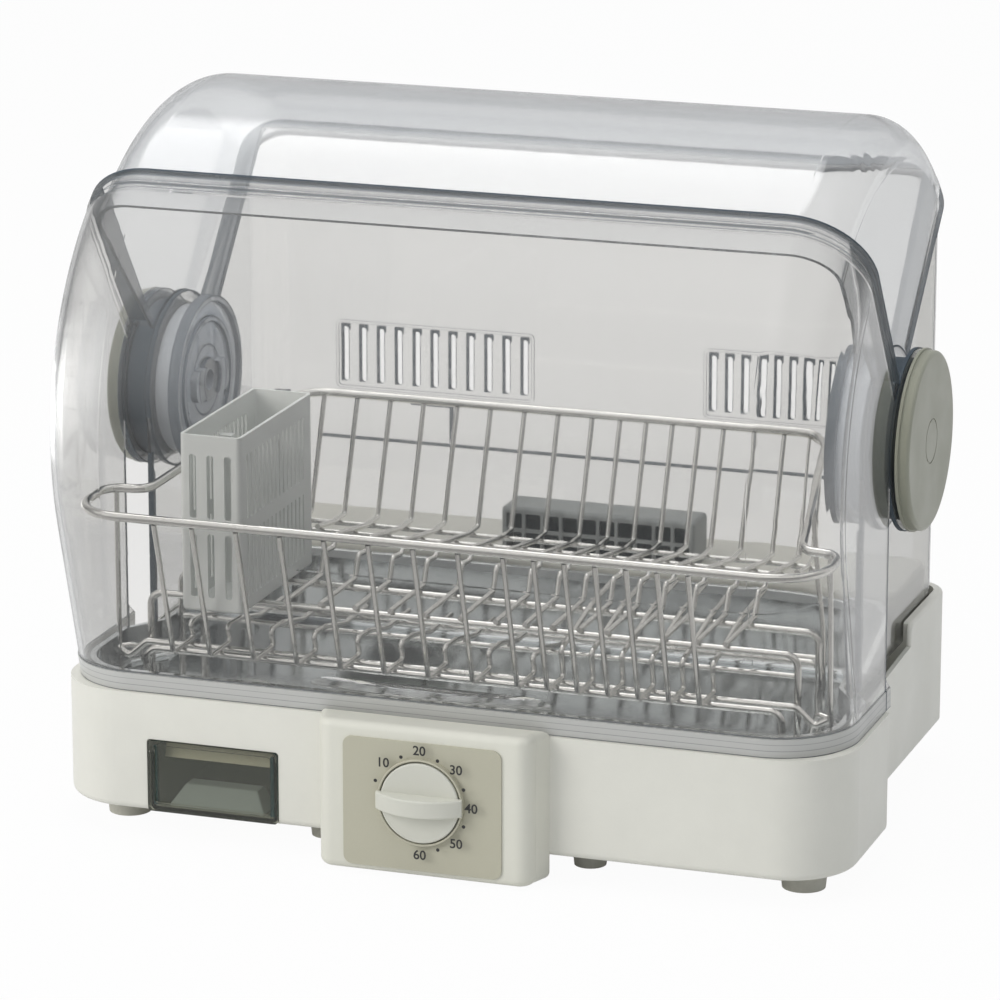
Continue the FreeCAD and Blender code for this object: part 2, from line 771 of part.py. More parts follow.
def outlet_louvre():
    left, right = dim.louvre_left, dim.louvre_right
    front, back, top = deep(dim.louvre_depth), deep(dim.louvre_back), dim.louvre_top
    wall, columns, rows = 2.2, 10, 2
    case = slab("louvre_case", "XY", (dim.rear_deck, top), rectangle((left, right), (front, back), 2, 2))
    fillet(case, 2.5, at("Z", top))
    pocket(case, "XY", (dim.rear_deck - 1, top - wall),
           rectangle((left + wall, right - wall), (front + wall, back - wall)))
    pitch = (right - left - 4) / columns
    rise = (top - dim.rear_deck - 5) / rows
    openings = new_body("louvre_openings")
    first = pad(openings, "XZ", (front - 1, front + wall + 1),
                *[rectangle((left + 2.9, left + 1.1 + pitch),
                            (dim.rear_deck + 3 + rise * row, dim.rear_deck + 1.2 + rise * (row + 1)), 1, 1)
                  for row in range(rows)])
    repeat(openings, first, "X", pitch, columns)
    node(cut("outlet_louvre", case, openings), "outlet_louvre")


# Covers. Their profiles are drawn in the side view, about the pivot axis.

def about_pivot(radius, angle):
    """A point at a radius from the pivot; the angle rises from the front, over the top, to the back."""
    return (deep(dim.pivot_depth) - radius * cosine(angle), dim.pivot_height + radius * sine(angle))


def hub_arc(*angles):
    """Corners along the hub circle, each reached by an arc, downward round the front first."""
    return [(*about_pivot(dim.hub_radius, angle), dim.hub_radius) for angle in angles]


def far_edge(edge):
    """True for the edges in the side planes that follow a cover's outer curve."""
    centre_y, centre_z = float(deep(dim.pivot_depth)), float(dim.pivot_height)
    reach = float(dim.hub_radius) * 3
    distances = [math.hypot(spot.Point.y - centre_y, spot.Point.z - centre_z) for spot in edge.Vertexes]
    return edge.BoundBox.XLength < 0.01 and min(distances) > reach


def rounded_block(name, half, corner, profile):
    owner = slab(name, "YZ", (-half, half), profile)
    fillet(owner, corner, far_edge)
    return owner


def cover_skin(name, half, corner, profile, inside, *raised):
    """A wall along the profile and the side planes, with rounded long edges and raised pieces."""
    outer = rounded_block(name + "_outer", half, corner, profile)
    if raised:
        outer = fused(name + "_raised", outer, *raised)
    inner = rounded_block(name + "_inner", half - dim.cover_wall, corner - dim.cover_wall, inside)
    return cut(name + "_skin", outer, inner)


def both_sides(name, piece):
    return fused(name, piece, mirrored(name + "_mirrored", piece))


def pivot_rod(name, radius, low, high):
    return rod(name, radius, (low, deep(dim.pivot_depth), dim.pivot_height), "X", size(high) - low)


def pivot_bore(name):
    half = dim.front_cover_half
    return pivot_rod(name, dim.pin_radius + dim.running_gap, -half - 5, half + 5)


def front_cover():
    half, radius, wall = dim.front_cover_half, dim.front_cover_radius, dim.cover_wall
    corner, low, back = dim.front_cover_corner, dim.front_cover_low, deep(dim.front_depth)
    edge_angle, lean = dim.front_edge_angle, dim.front_tangent_angle
    curve_y, curve_z = deep(147.4), size(219.4)

    def on_curve(reach, angle):
        return (curve_y - reach * cosine(angle), curve_z + reach * sine(angle))

    def foot_of_front(reach, level):
        y, z = on_curve(reach, -lean)
        return (y + (z - level) * sine(lean) / cosine(lean), level)

    arm_angle = edge_angle - 4
    arm_foot = dim.hub_radius + 2
    hub_front = dim.pivot_depth - dim.front_depth
    hub_drop = root(dim.hub_radius * dim.hub_radius - hub_front * hub_front)
    foot = 9
    profile = [(*on_curve(radius, -lean), radius), foot_of_front(radius, low), (back + foot, low),
               (back + foot, low + 11), (back, low + 18), (back, dim.pivot_height - hub_drop),
               *hub_arc(-90, -180, arm_angle), on_curve(arm_foot, edge_angle), on_curve(radius, edge_angle)]
    inside = [(*on_curve(radius - wall, -lean), radius - wall), foot_of_front(radius - wall, low - 5),
              (deep(140), low - 5), (deep(205), 180), (deep(205), 300),
              on_curve(radius - wall, edge_angle + 8)]
    band, proud, flare = 3, 1.8, 0.5
    strip = [(*on_curve(radius + proud, edge_angle - band), radius + proud),
             on_curve(arm_foot + 3, edge_angle - band), on_curve(arm_foot + 3, edge_angle),
             on_curve(radius + proud, edge_angle)]
    rim = rounded_block("front_band", half + flare, corner + proud, strip)
    hem, hem_proud = 11, 1.2
    hem_reach, below, above = radius + hem_proud, low - 4, low + 60
    tall_hem = rounded_block("front_hem_block", half + flare, corner + hem_proud,
                             [foot_of_front(hem_reach, below), foot_of_front(hem_reach, above),
                              (back + foot, above), (back + foot, below)])
    hem_band = common("front_hem", tall_hem,
                      box("hem_limit", (-half - 5, half + 5), (deep(-20), back + 20), (low, low + hem)))

    lip_left, lip_right, lip_bulge, lip_chord, lip_root = -70, 66, 6.5, deep(-2), deep(6)
    lip_radius = ((lip_right - lip_left) ** 2 / 4 + lip_bulge ** 2) / (2 * lip_bulge)
    handle = slab("handle_lip", "XY", (97.5, 104),
                  [(lip_right, lip_chord, lip_radius), (lip_right, lip_root),
                   (lip_left, lip_root), (lip_left, lip_chord)])
    fillet(handle, 1.6, lambda edge: edge.BoundBox.YLength > 5 and edge.BoundBox.XLength > 100)
    skin = cover_skin("front_cover", half, corner, profile, inside, rim, hem_band, handle)

    arm = slab("front_arm", "YZ", (half - 12, half - 1),
               [on_curve(radius - 1, edge_angle), on_curve(arm_foot, edge_angle),
                on_curve(arm_foot, edge_angle - 4.6), on_curve(radius - 1, edge_angle - 1.3)])
    cup_low = dim.top_cover_half + 0.8
    cup = cut("front_cup", pivot_rod("front_cup_outer", 44, cup_low, half - 1),
              pivot_rod("front_cup_inner", 40, cup_low - 1, half))
    boss = pivot_rod("front_boss", 18, cup_low, half - 1)
    inset = 0.6
    limit_reach = radius - inset
    limit = rounded_block("front_arm_limit", half - inset, corner - inset,
                          [(*on_curve(limit_reach, 20), limit_reach), on_curve(40, 20), on_curve(40, 80),
                           on_curve(limit_reach, 80)])
    side = fused("front_hub_side", common("front_arm_trimmed", arm, limit), cup, boss)
    hub = both_sides("front_hub", side)

    block = fused("front_cover_block", skin, hub)
    node(cut("front_cover", block, pivot_bore("front_cover_bore")), "front_cover")


def top_cover():
    half, radius, wall = dim.top_cover_half, dim.top_cover_radius, dim.cover_wall
    front, back, corner = dim.top_front_angle, dim.top_back_angle, dim.top_cover_corner
    profile = [(*about_pivot(radius, front), radius), about_pivot(dim.hub_radius, front),
               *hub_arc(-45, -135, back), about_pivot(radius, back)]
    inside = [(*about_pivot(radius - wall, front - 8), radius - wall), (deep(95), dim.pivot_height - 60),
              (deep(205), dim.pivot_height - 60), about_pivot(radius - wall, back + 8)]
    band, proud, flare = 4.6, 0.35, 0.3
    strip = [(*about_pivot(radius + proud, back - band), radius + proud),
             about_pivot(130, back - band), about_pivot(130, back), about_pivot(radius + proud, back)]
    rim = rounded_block("top_band", half + flare, corner + proud, strip)
    skin = cover_skin("top_cover", half, corner, profile, inside, rim)
    node(cut("top_cover", skin, pivot_bore("top_cover_bore")), "top_cover")


def rear_cover():
    half, wall, back = dim.rear_cover_half, dim.cover_wall, deep(dim.rear_cover_depth)
    low, side_front = dim.groove_floor, deep(dim.rear_side_depth)
    start = dim.rear_front_angle
    span = dim.rear_cover_depth - dim.pivot_depth - dim.rear_bend
    lean = span / (dim.rear_cover_radius - dim.rear_bend)
    rise = root(1 - lean * lean)
    bend_z = dim.pivot_height + (dim.rear_cover_radius - dim.rear_bend) * rise

    def curve(inset):
        """The back wall's line upward, its bend, and the arc about the pivot."""
        radius = dim.rear_cover_radius - inset
        meeting = (deep(dim.pivot_depth) + radius * lean, dim.pivot_height + radius * rise)
        return [(back - inset, bend_z), (*meeting, dim.rear_bend - inset)], radius

    outer, radius = curve(0)
    hub_front = dim.pivot_depth - dim.rear_side_depth
    hub_drop = root(dim.hub_radius * dim.hub_radius - hub_front * hub_front)
    profile = [(back, low), *outer, (*about_pivot(radius, start), radius),
               about_pivot(dim.hub_radius, start),
               *hub_arc(40), (side_front, dim.pivot_height - hub_drop, dim.hub_radius), (side_front, low)]
    inner, inner_radius = curve(wall)
    inside = [(back - wall, low - 8), *inner,
              (*about_pivot(inner_radius, start - 8), inner_radius),
              (deep(98), dim.pivot_height + 40), (deep(98), low - 8)]
    skin = cover_skin("rear_cover", half, dim.rear_cover_corner, profile, inside)

    inset, brow_low = 0.6, radius - 5.2
    strut = slab("rear_strut", "YZ", (half - 10, half - 1),
                 [about_pivot(brow_low + 1, start), about_pivot(dim.hub_radius + 1, start),
                  about_pivot(dim.hub_radius + 1, start + 4.4), about_pivot(brow_low + 1, start + 1.35)])
    brow = slab("rear_brow", "YZ", (1 - half, half - 1),
                [about_pivot(radius - 1, start), about_pivot(brow_low, start),
                 about_pivot(brow_low, start + 1.35), about_pivot(radius - 1, start + 1.35)])
    limit = rounded_block("rear_frame_limit", half - inset, dim.rear_cover_corner - inset,
                          [(*about_pivot(radius - inset, 110), radius - inset), about_pivot(40, 110),
                           about_pivot(40, 145), about_pivot(radius - inset, 145)])
    frame = common("rear_frame", fused("rear_frame_bars", both_sides("rear_struts", strut), brow), limit)

    slot_low, slot_high, slot_wide = 195, 228, 3.4
    left_slots, right_slots = -154.5, 70.5
    groups = []
    for first, pitch, count in ((left_slots, 11.1, 11), (right_slots, 9.6, 10)):
        slots = new_body("cover_slots")
        slot = pad(slots, "XZ", (back - wall - 2, back + 2),
                   rectangle((first, first + slot_wide), (slot_low, slot_high), 1.6, 1.6))
        repeat(slots, slot, "X", pitch, count)
        groups.append(slots)
    bead = rod("cover_bead", 1, (-168, back - wall, 161), "X", 319)
    hook = fused("cover_hook", box("hook_bar", (-112, -86), (back - wall - 1.5, back - 1), (184, 186)),
                 box("hook_leg", (-88, -86), (back - wall - 1.5, back - 1), (163, 185)))
    frames = []
    for first, length in ((left_slots, 114.4), (right_slots, 89.8)):
        frame_outer = slab("slot_frame", "XZ", (back - wall - 1, back - 1),
                           rectangle((first - 4, first + length + 4), (slot_low - 4, slot_high + 4), 3, 3))
        pocket(frame_outer, "XZ", (back - wall - 2, back),
               rectangle((first - 2.5, first + length + 2.5), (slot_low - 2.5, slot_high + 2.5), 2, 2))
        frames.append(frame_outer)
    edge_rib = slab("cover_edge_rib", "YZ", (half - wall - 1, half - 1),
                    [(side_front, low), (side_front + 3, low), (side_front + 3, dim.pivot_height - 44),
                     (side_front, dim.pivot_height - 40)])
    block = fused("rear_cover_block", skin, frame, bead, hook, *frames,
                  both_sides("cover_edge_ribs", edge_rib))
    node(cut("rear_cover", block, *groups, pivot_bore("rear_cover_bore")), "rear_cover")


# Hub parts on each side: pin, cap, clamping disc, spacer and washers

def hubs():
    pin_head = dim.front_cover_half + 0.4
    cap_back = pin_head + 2.3
    disc_low, disc_high = 190, 193.8
    loose = dim.pin_radius + dim.running_gap

    pin = cut("pin_right", fused("pin_block", pivot_rod("pin_rod", dim.pin_radius, 188, pin_head + 1),
                                 pivot_rod("pin_head", 20, pin_head, cap_back)),
              pivot_rod("pin_hollow", 6, 187, pin_head - 2))

    cap_body = new_body("cap_body")
    centre = (deep(dim.pivot_depth), dim.pivot_height)
    pad(cap_body, "YZ", (cap_back, dim.cap_face), (*centre, dim.cap_radius))
    fillet(cap_body, 2.2, at("X", dim.cap_face))
    pad(cap_body, "YZ", (cap_back, cap_back + 1.6), (*centre, dim.cap_radius + 1))
    pocket(cap_body, "YZ", (cap_back - 1, dim.cap_face - 2.4),
           (*centre, dim.cap_radius - 2.4), (*centre, 22))
    pocket(cap_body, "YZ", (dim.cap_face - 0.4, dim.cap_face + 1), (*centre, 12.4), (*centre, 11.6))

    disc = fused("disc_block", pivot_rod("disc_plate", 48, disc_low, disc_high),
                 cut("disc_rim", pivot_rod("rim_outer", 48, disc_low - 2.5, disc_low + 1),
                     pivot_rod("rim_inner", 44.5, disc_low - 3, disc_low + 2)),
                 cut("disc_step", pivot_rod("step_outer", 36, disc_low - 1.5, disc_low + 1),
                     pivot_rod("step_inner", 33, disc_low - 3, disc_low + 2)),
                 slab("disc_lug", "YZ", (disc_low - 4, disc_low + 1),
                      rectangle((centre[0] - 24, centre[0] + 24), (centre[1] - 9, centre[1] + 9), 6, 6)))
    pin_holes = [rod("disc_hole", 2, (disc_low - 5, centre[0] + side * 28, centre[1] - 14), "X", 15)
                 for side in (-1, 1)]
    disc_right = cut("disc_right", disc, pivot_rod("disc_bore", loose, disc_low - 5, disc_high + 1),
                     *pin_holes)

    inner_face = dim.rear_cover_half - dim.cover_wall
    spacer = cut("spacer_right", pivot_rod("spacer_block", 42, disc_high, inner_face),
                 cut("spacer_well", pivot_rod("spacer_well_outer", 38, disc_high + 2.2, inner_face + 1),
                     pivot_rod("spacer_core", 24, disc_high, inner_face + 2)),
                 pivot_rod("spacer_bore", loose, disc_high - 1, inner_face + 1))
    washers = [cut("washer", pivot_rod("washer_plate", 24, low + 0.1, low + 0.7),
                   pivot_rod("washer_bore", loose + 0.3, low - 1, low + 2))
               for low in (dim.rear_cover_half, dim.top_cover_half)]

    for name, right in (("hinge_pin", pin), ("hub_cap", cap_body), ("hub_disc", disc_right)):
        node(right, name + "_right")
        node(mirrored(name + "_left", right), name + "_left")
    node(group("hub_spacers", [spacer, mirrored("spacer_left", spacer)]), "hub_spacers")
    both_washers = washers + [mirrored("washer_left", washer) for washer in washers]
    node(group("hinge_washers", both_washers), "hinge_washers")


# Wire basket

def basket():
    rim, thin, leg = dim.rim_wire, dim.wire, dim.leg_wire
    half, front, back = dim.rim_half, -2, 218.5
    height, back_height = dim.rim_height, dim.rim_back_height
    jog_half, jog_depth, back_half = 187, 52, 160
    right = [(0, front, height), (half, front, height), (half, jog_depth, height),
             (jog_half, jog_depth + 3, height), (back_half, back, back_height), (0, back, back_height)]
    bends = [30, 12, 10, 25]
    halves = []
    for side in (1, -1):
        corners = [point(across * side, deep(depth), level) for across, depth, level in right]
        halves.append(solid("rim_half", bent_wire(corners, bends, rim)))
    node(fused("basket_rim", *halves), "basket_rim")

    shelf, upper = dim.front_shelf, dim.rear_shelf
    touch = (rim + thin) / 2 - 1.4
    drop = [(front + 0.7, height - touch), (23, shelf)]
    hooked = drop + [(53, shelf), (47, shelf + 10.5), (67, shelf + 9.5), (96, shelf + 3), (131, shelf + 3)]
    risen = drop + [(50, shelf), (46, shelf + 16.5), (98, upper), (146, upper + 3.5)]
    tight = 2.5
    hooked_places = [-160, -138] + spread(-112.6, 25.3, 7)
    risen_places = spread(56.2, 17, 6)
    node(wires("basket_front_wires", wire_row(hooked, tight, thin, hooked_places)
               + wire_row(risen, tight, thin, risen_places)), "basket_front_wires")

    climb = [(back - 0.8, back_height - 2.4), (195, 136.5), (178, 136.5)]
    full = climb + [(130, 144), (123, 138), (110, 139.5), (105, upper), (50, upper)]
    short = climb + [(152, 140.6)]
    full_places = spread(-104.4, 20.3, 7) + spread(34, 15.5, 4) + [95, 112.5, 131, 147]
    short_places = [-145, -124.7, 158]
    node(wires("basket_rear_wires", wire_row(full, tight, thin, full_places)
               + wire_row(short, tight, thin, short_places)), "basket_rear_wires")

    crossings = []
    for depth, level, reach in ((82, shelf + 3.05, 178), (128, shelf, 178), (158, 136.55, 162),
                                (187, 133.5, 162)):
        crossings.append(rod("cross_wire", thin / 2, (-reach, deep(depth), level), "X", 2 * reach))
    node(group("basket_cross_wires", crossings), "basket_cross_wires")

    floor = dim.tray_deck + 0.3 + dim.tray_sheet + 0.2
    under = (thin + leg) / 2
    frames = []
    for depth, level, reach in ((38, shelf - under, 182), (54, upper - under, 186),
                                (98, upper - under, 186), (120, shelf + 3 - under, 182)):
        corners = [point(across, deep(depth), top)
                   for across, top in ((-reach, floor), (-reach, level), (reach, level), (reach, floor))]
        frames.append(bent_wire(corners, 7, leg))
    stay_half, stay_depth, beam_depth = 204.5, 51.8, 48.7
    beam = [point(across, deep(beam_depth), level)
            for across, level in ((-stay_half, 92), (-197, 87.5), (-186.5, shelf - under),
                                  (186.5, shelf - under), (197, 87.5), (stay_half, 92))]
    frames.append(bent_wire(beam, 4, leg))
    for side in (-1, 1):
        stay_top, stay_end = [point(side * stay_half, deep(stay_depth), level)
                              for level in (height - 1.5, floor + 1)]
        toe = [point(side * across, deep(depth), level)
               for across, depth, level in ((stay_half - 0.5, stay_depth + 2, 91), (196, 57, 92),
                                            (190, 60, floor + 1))]
        back_stay = [point(side * across, deep(123.5), level)
                     for across, level in ((176, 188.2), (182, 118), (182, 84))]
        frames += [bent_wire(toe, 4, thin), bent_wire(back_stay, 12, thin),
                   straight_wire(stay_top, stay_end, thin)]
    node(wires("basket_legs", frames), "basket_legs")


# Cutlery holder and its partition

def cutlery_holder():
    left, right, wall = dim.holder_left, dim.holder_right, dim.holder_wall
    front, back, top = deep(dim.holder_front_depth), deep(dim.holder_back_depth), dim.holder_top
    low = dim.rear_shelf - dim.wire / 2 + 0.2
    floor = low + 2
    case = slab("holder_case", "XY", (low, top), rectangle((left, right), (front, back), 3, 3))
    fillet(case, 2, at("Z", low))
    pocket(case, "XY", (floor, top + 1),
           rectangle((left + wall, right - wall), (front + wall, back - wall), 1.5, 1.5))

    rows = ((low + 8, low + 44), (low + 52, low + 88))
    side_slots = new_body("holder_side_slots")
    first = pad(side_slots, "YZ", (left - 2, right + 2),
                *[rectangle((front + 9, front + 11.2), row, 0.9, 0.9) for row in rows])
    repeat(side_slots, first, "Y", 5.9, 15)
    front_slots = new_body("holder_front_slots")
    first = pad(front_slots, "XZ", (front - 2, front + wall + 1),
                *[rectangle((left + 5.5, left + 9.5), row, 1.6, 1.6) for row in rows])
    repeat(front_slots, first, "X", 10.2, 3)
    node(cut("cutlery_holder", case, side_slots, front_slots), "cutlery_holder")

    middle = (front + back) / 2
    plate = box("divider_plate", (left + wall + 0.2, right - wall - 0.2), (middle - 0.8, middle + 0.8),
                (floor, top - 14))
    clip = box("divider_clip", (left + wall + 0.2, right - wall - 0.2), (middle - 3, middle + 3),
               (top - 16, top - 13))
    notch = rod("divider_notch", 8, ((left + right) / 2, middle - 5, top - 13), "Y", 10)
    node(cut("cutlery_divider", fused("divider_block", plate, clip), notch), "cutlery_divider")


# Blower: scroll housing, impeller, motor

def fan_rod(name, radius, front, back):
    return rod(name, radius, (dim.fan_across, deep(front), dim.fan_height), "Y", size(back) - front)


def fan():
    across, height, radius = dim.fan_across, dim.fan_height, dim.fan_radius
    front, back, wall = dim.fan_front_depth, dim.fan_back_depth, 2
    throat_left, throat_right, throat_top = across + 4, across + 36, dim.throat_top
    outer = fused("scroll_outer", fan_rod("scroll_drum", radius + 6, front, back),
                  box("scroll_throat", (throat_left - wall, throat_right),
                      (deep(front), deep(back)), (height, throat_top)))
    inner = fused("scroll_inner", fan_rod("scroll_room", radius + 4, front + wall, back - wall),
                  box("throat_room", (throat_left, throat_right - wall),
                      (deep(front + wall), deep(back - wall)), (height, throat_top + 1)))
    screw_ways = [rod("scroll_screw_way", 1.6, (across + side * 23, deep(back - 4), height), "Y", 8)
                  for side in (-1, 1)]
    node(cut("fan_housing", outer, inner, fan_rod("intake", 22, front - 1, front + 4),
             fan_rod("shaft_way", 6.5, back - 4, back + 1), *screw_ways), "fan_housing")

    wheel = new_body("impeller_wheel")
    wheel_front, wheel_back, blades = front + 4, back - 4, 24
    pad(wheel, "XZ", (wheel_back - 2, wheel_back), (0, 0, radius))
    pad(wheel, "XZ", (wheel_front + 4, wheel_back - 2), (0, 0, 7))
    pad(wheel, "XZ", (wheel_front, wheel_front + 1.6), (0, 0, radius), (0, 0, radius - 7))
    blade = pad(wheel, "XZ", (wheel_front, wheel_back - 1),
                [(0.4, radius - 6.5), (2.6, radius - 0.4), (1.8, radius - 0.4), (-0.4, radius - 6.5)])
    turn = wheel.newObject("PartDesign::PolarPattern", "impeller_blades")
    turn.Originals = [blade]
    turn.Axis = (next(item for item in wheel.Origin.OriginFeatures if item.Role == "Y_Axis"), [""])
    turn.Angle = 360
    turn.Occurrences = blades
    wheel.Tip = turn
    pocket(wheel, "XZ", (wheel_front, wheel_back + 1), (0, 0, 3))
    place(wheel, across, deep(0), height)
    node(wheel, "fan_impeller")


def motor():
    across, height = dim.fan_across, dim.fan_height
    shaft, start = 3, dim.fan_back_depth
    stack_front, stack_back = start + 8, start + 22
    spots = [across - 23, across + 23]

    def screw_way(name):
        return [rod(name, 1.6, (spot, deep(start - 5), height), "Y", 40) for spot in spots]

    node(fan_rod("motor_shaft", shaft, start - 18, start + 34), "motor_shaft")
    rotor = cut("rotor_block", fan_rod("rotor_drum", 12.4, stack_front - 1, stack_back + 1),
                fan_rod("rotor_bore", shaft, stack_front - 2, stack_back + 2))
    node(rotor, "motor_rotor")

    stack = box("stack", (across - 28, across + 28), (deep(stack_front), deep(stack_back)), (34, 84))
    window = box("stack_window", (across - 16, across + 16),
                 (deep(stack_front - 1), deep(stack_back + 1)), (42, 50))
    node(cut("motor_stator", stack, window, fan_rod("stack_bore", 13, stack_front - 1, stack_back + 1),
             *screw_way("stack_way")), "motor_stator")
    coil = slab("coil_body", "XZ", (deep(start + 2), deep(start + 28)),
                rectangle((across - 14, across + 14), (28, 49.6), 3, 3))
    core = box("coil_core", (across - 15, across + 15), (deep(stack_front), deep(stack_back)), (34, 42))
    node(cut("motor_coil", coil, core), "motor_coil")

    brackets = []
    bearings = []
    for plate_front, post_front, post_back in ((start + 2, start + 4, stack_front),
                                               (stack_back + 4, stack_back, stack_back + 4)):
        plate = box("bracket_plate", (across - 27, across + 27), (deep(plate_front), deep(plate_front + 2)),
                    (height - 7, height + 7))
        posts = [rod("bracket_post", 3.5, (spot, deep(post_front), height), "Y", post_back - post_front)
                 for spot in spots]
        brackets.append(cut("bracket", fused("bracket_block", plate, *posts),
                            fan_rod("bracket_bore", 5, plate_front - 1, plate_front + 3),
                            *screw_way("bracket_way")))
        bearings.append(cut("bearing", fan_rod("bearing_bush", 5, plate_front - 1.5, plate_front + 3.5),
                            fan_rod("bearing_bore", dim.shaft_radius + dim.running_gap,
                                    plate_front - 3, plate_front + 5)))
    pads = [cut("bracket_pad", rod("pad_rod", 3.5, (spot, deep(start), height), "Y", 2),
                rod("pad_bore", 1.6, (spot, deep(start - 1), height), "Y", 4)) for spot in spots]
    front_bracket = fused("front_bracket", brackets[0], *pads)
    node(group("motor_brackets", [front_bracket, brackets[1]]), "motor_brackets")
    node(group("motor_bearings", bearings), "motor_bearings")
    end = stack_back + 6
    screws = [fused("motor_screw", rod("screw_head", 2.8, (spot, deep(end), height), "Y", 1.8),
                    rod("screw_shank", 1.4, (spot, deep(start - 2), height), "Y", end - start + 3))
              for spot in spots]
    node(group("motor_screws", screws), "motor_screws")


# Heater and its duct under the outlet

def heater():
    left, right = dim.louvre_left + 2, dim.louvre_right - 2
    top, skin = dim.rear_deck - dim.wall, 1.5
    throat_left, throat_right = dim.fan_across + 2, dim.fan_across + 36
    front, back = deep(dim.louvre_depth - 1), deep(dim.louvre_back - 1)

    def funnel(inset, extra):
        bottom = dim.throat_top - extra
        return [(throat_left + inset, bottom), (throat_right - inset, bottom), (right - inset, 106),
                (right - inset, top + extra), (left + inset, top + extra), (left + inset, 106)]

    duct = slab("duct_block", "XZ", (front, back), funnel(0, 0))
    pocket(duct, "XZ", (front + skin, back - skin), funnel(skin, 1))
    node(duct, "air_duct")

    level = 112
    passes = [dim.louvre_depth + depth for depth in (5, 12, 19)]
    plates = [box("mica_plate", (across, across + 0.8),
                  (deep(dim.louvre_depth + 1), deep(dim.louvre_depth + 23)),
                  (level - 4, level + 4)) for across in spread(-18, 28, 4)]
    rails = [box("mica_rail", (-19, 68), (deep(depth), deep(depth + 0.8)), (level - 1, level + 1))
             for depth in (dim.louvre_depth + 1, dim.louvre_depth + 22.2)]
    holes = [rod("mica_hole", 1, (-25, deep(depth), level), "X", 100) for depth in passes]
    node(cut("heater_frame", fused("heater_rack", *plates, *rails), *holes), "heater_frame")

    ends = (-24, 74)
    zigzag = []
    for number, depth in enumerate(passes):
        order = ends if number % 2 == 0 else ends[::-1]
        zigzag += [point(across, deep(depth), level) for across in order]
    node(wires("heater_element", [bent_wire(zigzag, 3.4, 1.6)]), "heater_element")

    side = deep(dim.louvre_depth + 12)
    body = rod("thermostat_can", 5, (right, side, level), "X", 6)
    tabs = [box("thermostat_tab", (right + 5.5, right + 9), (side + offset - 0.4, side + offset + 0.4),
                (level - 1.5, level + 1.5)) for offset in (-3, 3)]
    node(fused("thermostat", body, *tabs), "thermostat")
    node(rod("thermal_fuse", 1.8, (left - 1.8, side - 8, level), "Y", 16), "thermal_fuse")


# Terminal block, inner leads and the cord gland

def wiring():
    floor = dim.front_low
    block = box("terminal_base", (108, 142), (deep(236), deep(254)), (floor, floor + 12))
    wells = [rod("terminal_well", 3, (across, deep(241), floor + 6), "Z", 8) for across in (115, 125, 135)]
    node(cut("terminal_block", block, *wells), "terminal_block")

    top = floor + 12
    duct_side = dim.louvre_right - 2
    routes = [
        [(115, 248, top), (115, 248, 42), (80, 190, 36), (60, 70, 36), (12, 45, 45.4), (12, 27.2, 45.4)],
        [(125, 248, top), (125, 248, 38), (90, 256, 38), (22.2, 256, 38)],
        [(135, 248, top), (135, 248, 84), (112, 215, 112), (duct_side + 9.2, 215, 112)],
    ]
    leads = [bent_wire([point(across, deep(depth), level) for across, depth, level in route], 8, 2.2)
             for route in routes]
    node(wires("lead_wires", leads), "lead_wires")

    wall_inner = dim.rear_depth - dim.wall

    def gland_rod(name, radius, front, back):
        return rod(name, radius, (GLAND_ACROSS, deep(front), GLAND_HEIGHT), "Y", size(back) - front)

    gland = fused("gland_block", gland_rod("gland_outside", 9, dim.rear_depth, dim.rear_depth + 8),
                  gland_rod("gland_neck", GLAND_NECK, wall_inner - 1, dim.rear_depth + 1),
                  gland_rod("gland_inside", 8, wall_inner - 3, wall_inner))
    bore = gland_rod("gland_bore", 3.6, wall_inner - 5, dim.rear_depth + 10)
    node(cut("cord_gland", gland, bore), "cord_gland")


for make in (base_housing, bottom_cover, control_panel, timer, water_tray, drain_tray, outlet_louvre,
             rear_cover, top_cover, front_cover, hubs, basket, cutlery_holder, fan, motor, heater, wiring):
    make()

doc.recompute()

faulty = [thing.Label for thing in doc.Objects if "Invalid" in thing.State or "Error" in thing.State]
assert not faulty, f"failed objects: {faulty}"
for thing in doc.Objects:
    if thing.TypeId == "PartDesign::Pocket":
        before = thing.BaseFeature.Shape.Volume
        assert thing.Shape.Volume < before - 0.01, f"{thing.Label} cuts nothing"
for thing in nodes:
    assert not thing.Shape.isNull() and thing.Shape.isValid(), f"{thing.Label} has no valid shape"
    thing.Shape.exportStep(f"parts/{thing.Label}.step")
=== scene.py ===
import json
import math

import bmesh
import bpy
from mathutils import Matrix, Vector


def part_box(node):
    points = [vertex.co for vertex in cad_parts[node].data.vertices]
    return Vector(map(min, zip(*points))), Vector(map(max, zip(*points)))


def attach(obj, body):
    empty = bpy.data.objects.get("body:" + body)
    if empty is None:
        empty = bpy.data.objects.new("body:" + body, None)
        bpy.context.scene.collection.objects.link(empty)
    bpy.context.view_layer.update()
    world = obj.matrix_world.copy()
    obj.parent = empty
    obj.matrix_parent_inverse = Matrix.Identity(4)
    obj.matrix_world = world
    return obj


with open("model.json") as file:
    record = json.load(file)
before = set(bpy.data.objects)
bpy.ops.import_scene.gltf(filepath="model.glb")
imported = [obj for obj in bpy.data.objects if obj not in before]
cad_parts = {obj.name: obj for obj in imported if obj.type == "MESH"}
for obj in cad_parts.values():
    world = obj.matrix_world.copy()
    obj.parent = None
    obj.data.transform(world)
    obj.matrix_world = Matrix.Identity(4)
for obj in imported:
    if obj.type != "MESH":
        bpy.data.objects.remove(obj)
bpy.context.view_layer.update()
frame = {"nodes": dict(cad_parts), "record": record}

# Sizes from the frame. Metres, with the same axes as the solids.

